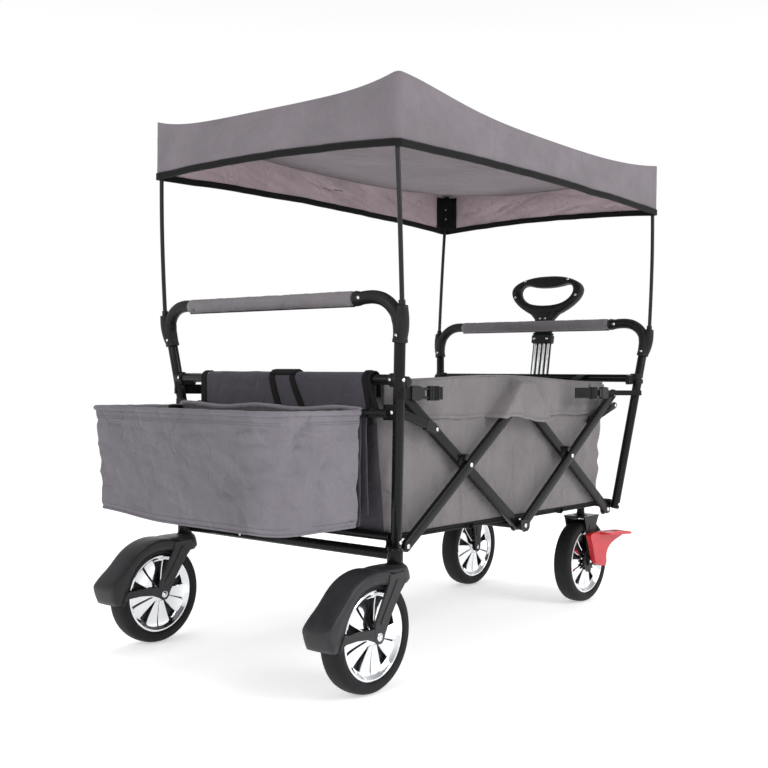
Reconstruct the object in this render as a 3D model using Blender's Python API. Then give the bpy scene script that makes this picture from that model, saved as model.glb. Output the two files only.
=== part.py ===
"""Folding wagon with pull handle: steel frame on casters, fabric tub, rear basket and clip-on canopy.

The frame folds in length. +X points to the pull handle, +Y to the left, +Z up. Lengths in metres.
"""

import math

import bmesh
import bpy
from mathutils import Matrix, Vector

# Driving dimensions. X is counted from the middle of the open frame and ORIGIN_SHIFT moves the
# whole wagon so that its origin lies under the middle of its bounding box.
BASKET_REACH = 0.722
PEDAL_REACH = 0.575
ORIGIN_SHIFT = (BASKET_REACH - PEDAL_REACH) / 2
GAP = 0.0004

WHEEL_RADIUS = 0.100
WHEEL_SIDES = 32
TYRE_HALF_WIDTH = 0.022
RIM_RADIUS = 0.0775
AXLE_RADIUS = 0.005

REAR_AXLE_X = -0.533
REAR_TRACK_HALF = 0.280
SWIVEL_X = -0.455
FRONT_AXLE_X = 0.428
FRONT_TRACK_HALF = 0.166

POST_RADIUS = 0.0103
POST_BOTTOM = Vector((0.4246, 0.2584, 0.2358))
POST_TOP = Vector((0.4750, 0.3010, 0.6020))
CROSSBAR_RADIUS = 0.0095
REAR_CROSSBAR_Z = 0.537
FRONT_CROSSBAR_Z = 0.548
GRAB_X = 0.4865
GRAB_Z = 0.681
GRAB_REACH = 0.215
GRAB_RADIUS = 0.0085
SLEEVE_RADIUS = 0.0150

AXLE_BAR_Z = 0.246

SCISSOR_HALF_BAY = 0.200
SCISSOR_LOW = 0.235
SCISSOR_HIGH = 0.510
LINK_WIDTH = 0.024
LINK_THICK = 0.012
INNER_LINK_Y = 0.2480
OUTER_LINK_Y = 0.2615
STAY_POST = Vector((0.435, 0.482))
STAY_LENGTH = 0.128
STAY_WIDTH = 0.017

TUB_HALF_WIDTH = 0.235
TUB_TOP = 0.522
TUB_BOTTOM = 0.254
FABRIC = 0.004

BASKET_HALF_WIDTH = 0.240
BASKET_TOP = 0.4795
BASKET_BOTTOM = 0.280
BASKET_BACK = 0.500
BASKET_TAPER = 0.026
BASKET_ROD = 0.004

CANOPY_HALF = Vector((0.515, 0.321))
CANOPY_CORNER_Z = 1.065
CANOPY_HEM_Z = 0.946
CANOPY_SAG = 0.031
POLE_RADIUS = 0.0045

HANDLE_PIVOT = Vector((0.450, 0.0, 0.266))
HANDLE_LEAN = 0.170
HANDLE_TUBE = 0.0085
HANDLE_ROD = 0.0064
HANDLE_SPACING = 0.034
COLLAR_AT = 0.386

SIDES = (("left", 1), ("right", -1))
ENDS = (("rear", -1), ("front", 1))

for old in list(bpy.data.objects):
    bpy.data.objects.remove(old, do_unlink=True)


def material(name, colour, roughness, metallic=0.0):
    made = bpy.data.materials.new(name)
    made.use_nodes = True
    shader = made.node_tree.nodes["Principled BSDF"]
    shader.inputs["Base Color"].default_value = (*colour, 1.0)
    shader.inputs["Roughness"].default_value = roughness
    shader.inputs["Metallic"].default_value = metallic
    return made


FRAME_PAINT = material("frame_paint", (0.030, 0.032, 0.035), 0.38, 0.3)
PLASTIC = material("black_plastic", (0.022, 0.023, 0.025), 0.50)
RUBBER = material("tyre_rubber", (0.020, 0.020, 0.021), 0.80)
CHROME = material("rim_chrome", (0.72, 0.73, 0.75), 0.14, 1.0)
STEEL = material("handle_steel", (0.45, 0.46, 0.48), 0.25, 1.0)
FABRIC_GREY = material("grey_fabric", (0.235, 0.215, 0.225), 0.85)
SLEEVE_GREY = material("sleeve_fabric", (0.205, 0.185, 0.190), 0.80)
PEDAL_RED = material("pedal_red", (0.600, 0.035, 0.045), 0.40)

wagon = bpy.data.objects.new("wagon", None)
wagon.location = (ORIGIN_SHIFT, 0.0, 0.0)
bpy.context.scene.collection.objects.link(wagon)


def put(name, shape, finish, pivot=(0.0, 0.0, 0.0), smooth=True):
    """Make an object of a bmesh. Its origin is at pivot, which for a moving piece is on the joint."""
    bmesh.ops.recalc_face_normals(shape, faces=shape.faces)
    bmesh.ops.translate(shape, verts=shape.verts, vec=-Vector(pivot))
    mesh = bpy.data.meshes.new(name)
    shape.to_mesh(mesh)
    shape.free()
    if smooth:
        mesh.shade_smooth()
        mesh.set_sharp_from_angle(angle=math.radians(35))
    mesh.materials.append(finish)
    made = bpy.data.objects.new(name, mesh)
    made.location = pivot
    made.parent = wagon
    bpy.context.scene.collection.objects.link(made)
    return made


def helper(name, shape, pivot=(0.0, 0.0, 0.0)):
    """A piece that only cuts or joins another."""
    made = put(name, shape, PLASTIC, pivot, smooth=False)
    made.hide_render = True
    made.display_type = "WIRE"
    return made


def combine(target, others, operation):
    """Booleans the helpers into the target, in order."""
    for other in others:
        step = target.modifiers.new(operation.lower(), "BOOLEAN")
        step.operation = operation
        step.solver = "EXACT"
        step.object = other


def loft(rings, closed_ends=True):
    """Bridges rings of equal length, and caps the first and the last."""
    shape = bmesh.new()
    loops = [[shape.verts.new(point) for point in ring] for ring in rings]
    count = len(loops[0])
    for first, second in zip(loops, loops[1:]):
        for i in range(count):
            j = (i + 1) % count
            shape.faces.new((first[i], first[j], second[j], second[i]))
    if closed_ends:
        shape.faces.new(loops[0][::-1])
        shape.faces.new(loops[-1])
    return shape


def circle(radius, sides, phase=0.0):
    return [
        Vector((math.cos(a), math.sin(a))) * radius
        for a in (2 * math.pi * (i + phase) / sides for i in range(sides))
    ]


def sweep(path, radii, sides=12):
    """A round rod along a path, with one radius for each point or one for all."""
    path = [Vector(point) for point in path]
    if not isinstance(radii, (list, tuple)):
        radii = [radii] * len(path)
    rings = []
    side = None
    for i, point in enumerate(path):
        ahead = path[min(i + 1, len(path) - 1)] - path[max(i - 1, 0)]
        ahead.normalize()
        if side is None:
            side = ahead.orthogonal().normalized()
        side = (side - ahead * side.dot(ahead)).normalized()
        up = ahead.cross(side)
        rings.append([point + side * p.x + up * p.y for p in circle(radii[i], sides)])
    return loft(rings)


def curve_through(points, steps=5):
    """Points along a smooth Catmull-Rom curve through the given ones."""
    points = [Vector(point) for point in points]
    padded = [2 * points[0] - points[1], *points, 2 * points[-1] - points[-2]]
    out = []
    for a, b, c, d in zip(padded, padded[1:], padded[2:], padded[3:]):
        for i in range(steps):
            t = i / steps
            out.append(
                0.5
                * (2 * b + (c - a) * t + (2 * a - 5 * b + 4 * c - d) * t**2 + (3 * b - 3 * c + d - a) * t**3)
            )
    return [*out, points[-1]]


def turned(profile, centre, sides, axis="Y"):
    """Turns a closed (radius, offset) profile about an axis through centre, with a flat underneath."""
    shape = bmesh.new()
    loops = []
    for x, z in circle(1.0, sides, phase=0.5):
        if axis == "Y":
            ring = [Vector((x * r, t, z * r)) for r, t in profile]
        else:
            ring = [Vector((x * r, z * r, t)) for r, t in profile]
        loops.append([shape.verts.new(Vector(centre) + point) for point in ring])
    for first, second in zip(loops, loops[1:] + loops[:1]):
        for i in range(len(profile)):
            j = (i + 1) % len(profile)
            shape.faces.new((first[i], first[j], second[j], second[i]))
    return shape


def extruded(outline, low, high, axis="Y"):
    """Extrudes a closed 2-D outline: (x, z) along Y, (x, y) along Z or (y, z) along X."""
    place = {
        "X": lambda p, t: Vector((t, p[0], p[1])),
        "Y": lambda p, t: Vector((p[0], t, p[1])),
        "Z": lambda p, t: Vector((p[0], p[1], t)),
    }[axis]
    return loft([[place(p, t) for p in outline] for t in (low, high)])


def capsule(start, end, width, steps=6):
    """Outline of a flat bar with round ends about two pivots."""
    start, end = Vector(start), Vector(end)
    heading = math.atan2(end.y - start.y, end.x - start.x)
    points = []
    for centre, turn in ((start, 0.5 * math.pi), (end, -0.5 * math.pi)):
        for i in range(steps + 1):
            a = heading + turn + math.pi * i / steps
            points.append(centre + Vector((math.cos(a), math.sin(a))) * width / 2)
    return points


def mirrored(point, end, side):
    return Vector((point[0] * end, point[1] * side, point[2]))


def on_post(z):
    """The centre of a post at a height, for the positive quadrant."""
    return POST_BOTTOM.lerp(POST_TOP, (z - POST_BOTTOM.z) / (POST_TOP.z - POST_BOTTOM.z))


def between_posts(name, end, z, radius):
    """A level bar that ends against the two leaning posts of one end."""
    post = on_post(z)
    lean = (POST_TOP.y - POST_BOTTOM.y) / (POST_TOP.z - POST_BOTTOM.z)
    reach = post.y - POST_RADIUS - lean * radius - 2 * GAP
    x = end * post.x
    put(name, sweep([(x, -reach, z), (x, reach, z)], radius), FRAME_PAINT)


# ---------------------------------------------------------------- frame
def frame_end(end_name, end, crossbar_z):
    for side_name, side in SIDES:
        put(
            f"{end_name}_post_{side_name}",
            sweep([mirrored(POST_BOTTOM, end, side), mirrored(POST_TOP, end, side)], POST_RADIUS),
            FRAME_PAINT,
        )
        bend = curve_through(
            [
                (POST_TOP.x + 0.0001, POST_TOP.y + 0.0001, POST_TOP.z + GAP),
                (0.4805, 0.3060, 0.645),
                (0.4850, 0.2975, 0.676),
                (0.4868, 0.2640, 0.6925),
                (GRAB_X, 0.2300, GRAB_Z + 0.001),
            ],
            steps=3,
        )
        bend += [Vector((GRAB_X, GRAB_REACH + 0.008, GRAB_Z)), Vector((GRAB_X, GRAB_REACH, GRAB_Z))]
        radii = [0.0130] * 5 + [0.0125] * 3 + [0.0118] * (len(bend) - 10) + [0.0125] * 2
        put(
            f"{end_name}_elbow_{side_name}",
            sweep([mirrored(p, end, side) for p in bend], radii),
            PLASTIC,
        )
    bar_x = end * GRAB_X
    half = GRAB_REACH - GAP
    put(
        f"{end_name}_grab_bar",
        sweep([(bar_x, -half, GRAB_Z), (bar_x, half, GRAB_Z)], GRAB_RADIUS),
        FRAME_PAINT,
    )
    bore = GRAB_RADIUS + GAP
    low, high = -0.2075, 0.2075
    profile = [
        (bore, low),
        (SLEEVE_RADIUS - 0.002, low),
        (SLEEVE_RADIUS, low + 0.004),
        (SLEEVE_RADIUS, high - 0.004),
        (SLEEVE_RADIUS - 0.002, high),
        (bore, high),
    ]
    put(f"{end_name}_grab_sleeve", turned(profile, (bar_x, 0, GRAB_Z), 16), SLEEVE_GREY)
    between_posts(f"{end_name}_top_crossbar", end, crossbar_z, CROSSBAR_RADIUS)


def lower_bars():
    """The rear caster bar with its two stem housings, the rear floor bar and the front axle bar."""
    bar_z = 0.2248
    bar_x = -0.441
    bar = put(
        "rear_caster_bar",
        sweep([(bar_x, -0.272, bar_z), (bar_x, 0.272, bar_z)], 0.010),
        FRAME_PAINT,
    )
    housings = []
    bores = []
    for side_name, side in SIDES:
        centre = (SWIVEL_X, side * REAR_TRACK_HALF, 0)
        rim = circle(0.0145, 16)
        hole = circle(0.0067, 16)
        ring = [Vector(centre[:2]) + p for p in rim]
        inner = [Vector(centre[:2]) + p for p in hole]
        housings.append(helper(f"housing_{side_name}", extruded(ring, 0.2125, 0.2400, "Z")))
        bores.append(helper(f"housing_bore_{side_name}", extruded(inner, 0.20, 0.26, "Z")))
    combine(bar, housings, "UNION")
    combine(bar, bores, "DIFFERENCE")

    between_posts("rear_floor_bar", -1, 0.2530, 0.0080)
    between_posts("front_axle_bar", 1, AXLE_BAR_Z, 0.0105)


# ---------------------------------------------------------------- wheels
def wheel(end_name, side_name, centre):
    """A smooth tyre on a rim with five windows between its spokes."""
    tread = WHEEL_RADIUS / math.cos(math.pi / WHEEL_SIDES)
    bead = RIM_RADIUS + GAP
    half = TYRE_HALF_WIDTH
    profile = [
        (bead, -half + 0.004),
        (bead + 0.006, -half),
        (tread - 0.006, -half + 0.002),
        (tread, -half + 0.010),
        (tread, half - 0.010),
        (tread - 0.006, half - 0.002),
        (bead + 0.006, half),
        (bead, half - 0.004),
    ]
    put(f"{end_name}_tyre_{side_name}", turned(profile, centre, WHEEL_SIDES), RUBBER, centre)

    bore = (AXLE_RADIUS + GAP) / math.cos(math.pi / WHEEL_SIDES)
    profile = [
        (bore, -0.0205),
        (0.0150, -0.0205),
        (0.0180, -0.0120),
        (0.0640, -0.0130),
        (0.0690, -0.0180),
        (RIM_RADIUS - 0.0010, -0.0185),
        (RIM_RADIUS - 0.0010, 0.0185),
        (0.0690, 0.0180),
        (0.0640, 0.0130),
        (0.0180, 0.0120),
        (0.0150, 0.0205),
        (bore, 0.0205),
    ]
    rim = put(f"{end_name}_rim_{side_name}", turned(profile, centre, WHEEL_SIDES), CHROME, centre)
    windows = bmesh.new()
    for i in range(5):
        middle = 2 * math.pi * (i + 0.5) / 5
        spread_in = 0.32
        spread_out = 0.50
        outline = [(0.026, middle - spread_in), (0.0625, middle - spread_out)]
        outline += [(0.0635, middle), (0.0625, middle + spread_out), (0.026, middle + spread_in)]
        rings = [
            [
                Vector((centre[0] + r * math.cos(a), centre[1] + t, centre[2] + r * math.sin(a)))
                for r, a in outline
            ]
            for t in (-0.03, 0.03)
        ]
        prism = loft(rings)
        bmesh.ops.recalc_face_normals(prism, faces=prism.faces)
        holder = bpy.data.meshes.new("window")
        prism.to_mesh(holder)
        prism.free()
        windows.from_mesh(holder)
        bpy.data.meshes.remove(holder)
    cutter = helper(f"{end_name}_windows_{side_name}", windows, centre)
    combine(rim, [cutter], "DIFFERENCE")


def arc(centre, radius, start, stop, steps):
    """Points (x, z) on an arc, angles in degrees from +X towards +Z."""
    return [
        (
            centre[0] + radius * math.cos(math.radians(start + (stop - start) * i / steps)),
            centre[1] + radius * math.sin(math.radians(start + (stop - start) * i / steps)),
        )
        for i in range(steps + 1)
    ]


def caster(side_name, side):
    """A swivel fork whose arched fender covers the top and back of the wheel."""
    y = side * REAR_TRACK_HALF
    centre = (REAR_AXLE_X, y, WHEEL_RADIUS)
    wheel("rear", side_name, centre)
    hub = (REAR_AXLE_X, WHEEL_RADIUS)
    inner, outer = 0.1035, 0.1080
    half = 0.0300
    pivot = (SWIVEL_X, y, 0.0)
    arch_outline = arc(hub, outer, 38, 172, 14)
    arch_outline += [(hub[0] - 0.150, hub[1] - 0.006), (hub[0] - 0.150, hub[1] - 0.0105)]
    arch_outline += [(hub[0] - 0.112, hub[1] - 0.002)]
    arch_outline += arc(hub, inner, 172, 38, 14)
    fork = put(
        f"rear_fork_{side_name}",
        extruded(arch_outline, y - half, y + half),
        PLASTIC,
        pivot,
    )
    joins = []
    crown = [(-0.485, 0.190), (-0.485, 0.2080), (-0.436, 0.2080), (-0.436, 0.1760), (-0.446, 0.1740)]
    joins.append(helper(f"crown_{side_name}", extruded(crown, y - half + 0.001, y + half - 0.001)))
    stem = [Vector((SWIVEL_X, y)) + p for p in circle(0.0062, 16)]
    joins.append(helper(f"stem_{side_name}", extruded(stem, 0.200, 0.2420, "Z")))
    cheek_low = TYRE_HALF_WIDTH + 0.0025
    for face, sign in (("out", side), ("in", -side)):
        low, high = sorted((y + sign * cheek_low, y + sign * (cheek_low + 0.0050)))
        strut = [
            (-0.4370, 0.2060),
            (-0.4400, 0.1650),
            (hub[0] + 0.016, hub[1] - 0.010),
            (hub[0] - 0.004, hub[1] - 0.015),
            (hub[0] - 0.016, hub[1] + 0.004),
            (hub[0] - 0.004, hub[1] + 0.018),
            (-0.4700, 0.1750),
            (-0.4760, 0.2060),
        ]
        joins.append(helper(f"strut_{face}_{side_name}", extruded(strut, low, high)))
        arm = [
            (hub[0] + 0.004, hub[1] + 0.014),
            (hub[0] - 0.060, hub[1] + 0.014),
            (hub[0] - 0.090, hub[1] + 0.055),
            (hub[0] - 0.108, hub[1] + 0.022),
            (hub[0] - 0.126, hub[1] - 0.0055),
            (hub[0] - 0.090, hub[1] - 0.0140),
            (hub[0] + 0.002, hub[1] - 0.0135),
        ]
        joins.append(helper(f"arm_{face}_{side_name}", extruded(arm, low, high)))
    pin = [Vector(hub) + p for p in circle(AXLE_RADIUS, 12)]
    reach = cheek_low + 0.0080
    joins.append(helper(f"rear_axle_{side_name}", extruded(pin, y - reach, y + reach)))
    combine(fork, joins, "UNION")


def front_fork(side_name, side):
    """A fixed fork under the front axle bar, and the brake pedal on its outer side."""
    y = side * FRONT_TRACK_HALF
    wheel("front", side_name, (FRONT_AXLE_X, y, WHEEL_RADIUS))
    hub = (FRONT_AXLE_X, WHEEL_RADIUS)
    leg_low = TYRE_HALF_WIDTH + 0.0020
    half = leg_low + 0.0040
    plate = [(0.393, 0.2060), (0.393, 0.2110), (0.468, 0.2110), (0.468, 0.2060)]
    fork = put(f"front_fork_{side_name}", extruded(plate, y - half, y + half), FRAME_PAINT)
    joins = []
    bar = on_post(AXLE_BAR_Z)
    stem = [Vector((bar.x, y)) + p for p in circle(0.0110, 12)]
    stem_top = AXLE_BAR_Z - 0.0105 - GAP
    joins.append(helper(f"front_stem_{side_name}", extruded(stem, 0.2080, stem_top, "Z")))
    for face, sign in (("out", side), ("in", -side)):
        low, high = sorted((y + sign * leg_low, y + sign * half))
        leg = [
            (0.402, 0.2090),
            (hub[0] - 0.013, hub[1]),
            (hub[0] - 0.007, hub[1] - 0.012),
            (hub[0] + 0.007, hub[1] - 0.012),
            (hub[0] + 0.013, hub[1]),
            (0.456, 0.2090),
        ]
        joins.append(helper(f"leg_{face}_{side_name}", extruded(leg, low, high)))
    pin = [Vector(hub) + p for p in circle(AXLE_RADIUS, 12)]
    reach = half + 0.0015
    joins.append(helper(f"front_axle_{side_name}", extruded(pin, y - reach, y + reach)))
    combine(fork, joins, "UNION")

    start = FRONT_TRACK_HALF + half + 0.0022
    pivot = (FRONT_AXLE_X, side * start, 0.142)
    cover = [
        (0.408, 0.078),
        (0.447, 0.078),
        (0.454, 0.110),
        (0.470, 0.130),
        (0.520, 0.136),
        (PEDAL_REACH, 0.139),
        (PEDAL_REACH, 0.148),
        (0.525, 0.154),
        (0.452, 0.158),
        (0.412, 0.156),
        (0.402, 0.146),
    ]
    low, high = sorted((side * start, side * (start + 0.013)))
    pedal = put(f"brake_pedal_{side_name}", extruded(cover, low, high), PEDAL_RED, pivot)
    tread = [(0.505, 0.1375), (PEDAL_REACH, 0.1405), (PEDAL_REACH, 0.1465), (0.510, 0.1520)]
    low, high = sorted((side * (start + 0.002), side * (start + 0.036)))
    combine(pedal, [helper(f"pedal_tread_{side_name}", extruded(tread, low, high))], "UNION")


# ---------------------------------------------------------------- folding links
def links():
    far = 2 * SCISSOR_HALF_BAY
    rear_low = (-far, SCISSOR_LOW)
    rear_high = (-far, SCISSOR_HIGH)
    mid_low = (0.0, SCISSOR_LOW)
    mid_high = (0.0, SCISSOR_HIGH)
    front_low = (far, SCISSOR_LOW)
    front_high = (far, SCISSOR_HIGH)
    cross_z = (SCISSOR_LOW + SCISSOR_HIGH) / 2
    rear_cross = (-SCISSOR_HALF_BAY, cross_z)
    front_cross = (SCISSOR_HALF_BAY, cross_z)
    plans = (
        ("rear_rising_link", rear_low, mid_high, OUTER_LINK_Y, rear_low),
        ("rear_falling_link", rear_high, mid_low, INNER_LINK_Y, rear_cross),
        ("front_rising_link", mid_low, front_high, OUTER_LINK_Y, front_cross),
        ("front_falling_link", mid_high, front_low, INNER_LINK_Y, mid_high),
    )
    for side_name, side in SIDES:
        for name, start, end, offset, pivot in plans:
            outline = capsule(start, end, LINK_WIDTH)
            middle = side * offset
            put(
                f"{name}_{side_name}",
                extruded(outline, middle - LINK_THICK / 2, middle + LINK_THICK / 2),
                FRAME_PAINT,
                (pivot[0], middle, pivot[1]),
            )
        slope = math.radians(16.8)
        for end_name, end, offset in (("rear", -1, OUTER_LINK_Y), ("front", 1, INNER_LINK_Y)):
            start = Vector((end * STAY_POST.x, STAY_POST.y))
            stop = start + Vector((-end * math.cos(slope), -math.sin(slope))) * STAY_LENGTH
            middle = side * offset
            put(
                f"{end_name}_stay_{side_name}",
                extruded(capsule(start, stop, STAY_WIDTH), middle - 0.004, middle + 0.004),
                FRAME_PAINT,
                (start.x, middle, start.y),
            )
    reach = INNER_LINK_Y - LINK_THICK / 2 - 0.002
    put(
        "centre_floor_bar",
        sweep([(0, -reach, SCISSOR_LOW), (0, reach, SCISSOR_LOW)], 0.0085),
        FRAME_PAINT,
        (0.0, 0.0, SCISSOR_LOW),
    )


# ---------------------------------------------------------------- fabric
def open_box(bottom, top, low, high, wall):
    """An open-topped box whose corners are given as (x0, x1, half width) at the bottom and the top."""

    def ring(extent, z, inset):
        x0, x1, half = extent
        x0, x1, half = x0 + inset, x1 - inset, half - inset
        return [Vector((x, y, z)) for x, y in ((x0, -half), (x1, -half), (x1, half), (x0, half))]

    outer_low, outer_high = ring(bottom, low, 0), ring(top, high, 0)
    inner_low, inner_high = ring(bottom, low + wall, wall), ring(top, high, wall)
    return loft([outer_low, outer_high, inner_high, inner_low])


def fabric_parts():
    tub = open_box(
        (-0.4120, 0.3900, TUB_HALF_WIDTH - 0.002),
        (-0.4480, 0.4050, TUB_HALF_WIDTH),
        TUB_BOTTOM,
        TUB_TOP,
        FABRIC,
    )
    put("tub", tub, FABRIC_GREY, smooth=False)
    basket = open_box(
        (-BASKET_REACH + BASKET_TAPER, -BASKET_BACK, BASKET_HALF_WIDTH),
        (-BASKET_REACH, -BASKET_BACK, BASKET_HALF_WIDTH),
        BASKET_BOTTOM,
        BASKET_TOP,
        FABRIC,
    )
    put("basket", basket, FABRIC_GREY, smooth=False)
    rod_z = BASKET_TOP + BASKET_ROD + GAP
    rim_y = BASKET_HALF_WIDTH - 0.004
    corner = 0.016
    front_x = -BASKET_REACH + 0.005
    half_route = [
        (-0.4815, 0.2780, rod_z),
        (-0.4900, 0.2600, rod_z),
        (-0.5050, rim_y, rod_z),
        (front_x + corner, rim_y, rod_z),
        (front_x + 0.3 * corner, rim_y - 0.3 * corner, rod_z),
        (front_x, rim_y - corner, rod_z),
    ]
    route = half_route + [mirrored(p, 1, -1) for p in reversed(half_route)]
    put("basket_frame", sweep(route, BASKET_ROD, sides=8), FRAME_PAINT)


def roof_height(u, v, fall=0.0):
    """Height of the roof over the unit square, held up at its corners and slack between them."""
    held = (abs(u) * abs(v)) ** 2.8
    belly = 0.012 * (1 - max(abs(u), abs(v)) ** 2)
    return CANOPY_CORNER_Z - fall - CANOPY_SAG * (1 - held) - belly


def canopy():
    """A sagging roof with a straight valance: an outer and an inner skin joined along the hem."""
    columns, rows = 12, 8
    shape = bmesh.new()

    def skin(inset, drop):
        half = CANOPY_HALF - Vector((inset, inset))
        grid = []
        for i in range(columns + 1):
            u = 2 * i / columns - 1
            line = []
            for j in range(rows + 1):
                v = 2 * j / rows - 1
                line.append(shape.verts.new((half.x * u, half.y * v, roof_height(u, v, drop))))
            grid.append(line)
        for i in range(columns):
            for j in range(rows):
                corners = (grid[i][j], grid[i + 1][j], grid[i + 1][j + 1], grid[i][j + 1])
                shape.faces.new(corners if not inset else corners[::-1])
        border = [grid[i][0] for i in range(columns)]
        border += [grid[columns][j] for j in range(rows)]
        border += [grid[i][rows] for i in range(columns, 0, -1)]
        border += [grid[0][j] for j in range(rows, 0, -1)]
        hem = []
        for vert in border:
            u, v = vert.co.x / half.x, vert.co.y / half.y
            rise = 0.010 * (1 - (abs(u) * abs(v)) ** 2)
            hem.append(shape.verts.new((vert.co.x, vert.co.y, CANOPY_HEM_Z + rise)))
        count = len(border)
        for k in range(count):
            n = (k + 1) % count
            corners = (border[n], border[k], hem[k], hem[n])
            shape.faces.new(corners if not inset else corners[::-1])
        return hem

    outer = skin(0.0, 0.0)
    inner = skin(FABRIC, FABRIC)
    count = len(outer)
    for k in range(count):
        n = (k + 1) % count
        shape.faces.new((outer[n], outer[k], inner[k], inner[n]))
    put("canopy_cover", shape, FABRIC_GREY)

    for end_name, end in ENDS:
        for side_name, side in SIDES:
            foot = mirrored((0.4855, 0.3225, 0.6620), end, side)
            tip = mirrored((0.5050, 0.3070, 1.0480), end, side)
            put(f"{end_name}_canopy_pole_{side_name}", sweep([foot, tip], POLE_RADIUS, 8), STEEL, foot)


def buckles():
    """Side-release buckles that hold the tub's corners, just outside the links."""
    for end_name, start, stop in (("rear", -0.400, -0.312), ("front", 0.222, 0.360)):
        for side_name, side in SIDES:
            low, high = sorted((side * 0.2700, side * 0.2790))
            outline = [
                (start, 0.5040),
                (start + 0.006, 0.5000),
                (stop - 0.006, 0.5000),
                (stop, 0.5040),
                (stop, 0.5220),
                (stop - 0.006, 0.5260),
                (start + 0.006, 0.5260),
                (start, 0.5220),
            ]
            put(f"{end_name}_buckle_{side_name}", extruded(outline, low, high), PLASTIC, smooth=False)


# ---------------------------------------------------------------- pull handle
def along(distance):
    """A point on the handle's axis, counted from its pivot."""
    way = Vector((HANDLE_LEAN, 0, 1)).normalized()
    return HANDLE_PIVOT + way * distance


def pull_handle():
    lean = Matrix.Rotation(math.atan(HANDLE_LEAN), 4, "Y")

    def block(low, high, half_x, half_y, bevel=0.0, centre_x=0.0):
        """A box square to the handle's axis, between two distances along it."""
        shape = bmesh.new()
        bmesh.ops.create_cube(shape, size=1.0)
        size = Matrix.Diagonal((2 * half_x, 2 * half_y, high - low, 1))
        bmesh.ops.transform(shape, matrix=size, verts=shape.verts)
        if bevel:
            bmesh.ops.bevel(shape, geom=list(shape.edges), offset=bevel, segments=2, affect="EDGES")
        bmesh.ops.translate(shape, verts=shape.verts, vec=(centre_x, 0, (low + high) / 2))
        bmesh.ops.transform(shape, matrix=Matrix.Translation(HANDLE_PIVOT) @ lean, verts=shape.verts)
        return shape

    offsets = [Vector((0, side * HANDLE_SPACING / 2, 0)) for side in (1, -1)]

    yoke = block(-0.010, 0.030, 0.0105, 0.0290, 0.003)
    tubes = put("pull_handle_tubes", yoke, STEEL, HANDLE_PIVOT)
    joins = [helper("handle_collar", block(COLLAR_AT - 0.011, COLLAR_AT, 0.0125, 0.0300, 0.003))]
    bores = []
    for i, offset in enumerate(offsets):
        ends = [along(0.026) + offset, along(COLLAR_AT - 0.005) + offset]
        joins.append(helper(f"handle_tube_{i}", sweep(ends, HANDLE_TUBE)))
        ends = [along(0.032) + offset, along(COLLAR_AT + 0.01) + offset]
        bores.append(helper(f"handle_bore_{i}", sweep(ends, HANDLE_ROD + GAP)))
    pin = [Vector((HANDLE_PIVOT.x, HANDLE_PIVOT.z)) + p for p in circle(0.0045, 12)]
    joins.append(helper("handle_pin", extruded(pin, -0.0385, 0.0385)))
    combine(tubes, joins, "UNION")
    combine(tubes, bores, "DIFFERENCE")

    bridge_low = COLLAR_AT + GAP
    rods = put(
        "pull_handle_rods",
        block(bridge_low, bridge_low + 0.006, 0.0080, 0.0240, 0.0015),
        STEEL,
        along(COLLAR_AT),
    )
    joins = []
    for i, offset in enumerate(offsets):
        ends = [along(0.036) + offset, along(bridge_low + 0.003) + offset]
        joins.append(helper(f"handle_rod_{i}", sweep(ends, HANDLE_ROD)))
    combine(rods, joins, "UNION")

    neck_low = bridge_low + 0.006 + GAP
    top = 0.558
    grip = put(
        "pull_handle_grip",
        block(neck_low, 0.462, 0.0115, 0.0250, 0.005),
        PLASTIC,
        along(COLLAR_AT),
    )
    ring = bmesh.new()
    loops = []
    for i in range(24):
        a = 2 * math.pi * i / 24
        spread = 0.0940 if math.sin(a) > 0 else 0.0900
        y = spread * math.copysign(abs(math.cos(a)) ** 0.8, math.cos(a))
        z = (top + 0.452) / 2 + (top - 0.476) / 2 * math.sin(a)
        thick = 0.0125 + 0.0025 * math.sin(a)
        outward = Vector((0, math.cos(a), math.sin(a)))
        centre = Vector((0, y, z))
        loops.append(
            [
                ring.verts.new(centre + outward * (p.x * thick) + Vector((p.y * 0.0135, 0, 0)))
                for p in circle(1.0, 10)
            ]
        )
    for first, second in zip(loops, loops[1:] + loops[:1]):
        for i in range(10):
            j = (i + 1) % 10
            ring.faces.new((first[i], first[j], second[j], second[i]))
    bmesh.ops.transform(ring, matrix=Matrix.Translation(HANDLE_PIVOT) @ lean, verts=ring.verts)
    combine(grip, [helper("grip_ring", ring)], "UNION")

    bar = on_post(AXLE_BAR_Z)
    base = [
        (bar.x + 0.0109, 0.252),
        (bar.x + 0.0109, 0.240),
        (HANDLE_PIVOT.x + 0.010, 0.252),
        (HANDLE_PIVOT.x + 0.014, 0.266),
        (HANDLE_PIVOT.x + 0.008, 0.276),
        (HANDLE_PIVOT.x - 0.006, 0.276),
    ]
    bracket = put("pull_handle_bracket", extruded(base, -0.0380, 0.0380), FRAME_PAINT)
    slot = [(0.400, 0.2500), (0.500, 0.2500), (0.500, 0.300), (0.400, 0.300)]
    hole = [Vector((HANDLE_PIVOT.x, HANDLE_PIVOT.z)) + p for p in circle(0.0050, 12)]
    cuts = [
        helper("bracket_slot", extruded(slot, -0.0305, 0.0305)),
        helper("bracket_hole", extruded(hole, -0.05, 0.05)),
    ]
    combine(bracket, cuts, "DIFFERENCE")


for end_name, end, height in (("rear", -1, REAR_CROSSBAR_Z), ("front", 1, FRONT_CROSSBAR_Z)):
    frame_end(end_name, end, height)
lower_bars()
for side_name, side in SIDES:
    caster(side_name, side)
    front_fork(side_name, side)
links()
fabric_parts()
canopy()
buckles()
pull_handle()
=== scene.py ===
"""Looks of the folding wagon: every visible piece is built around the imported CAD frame."""

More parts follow.
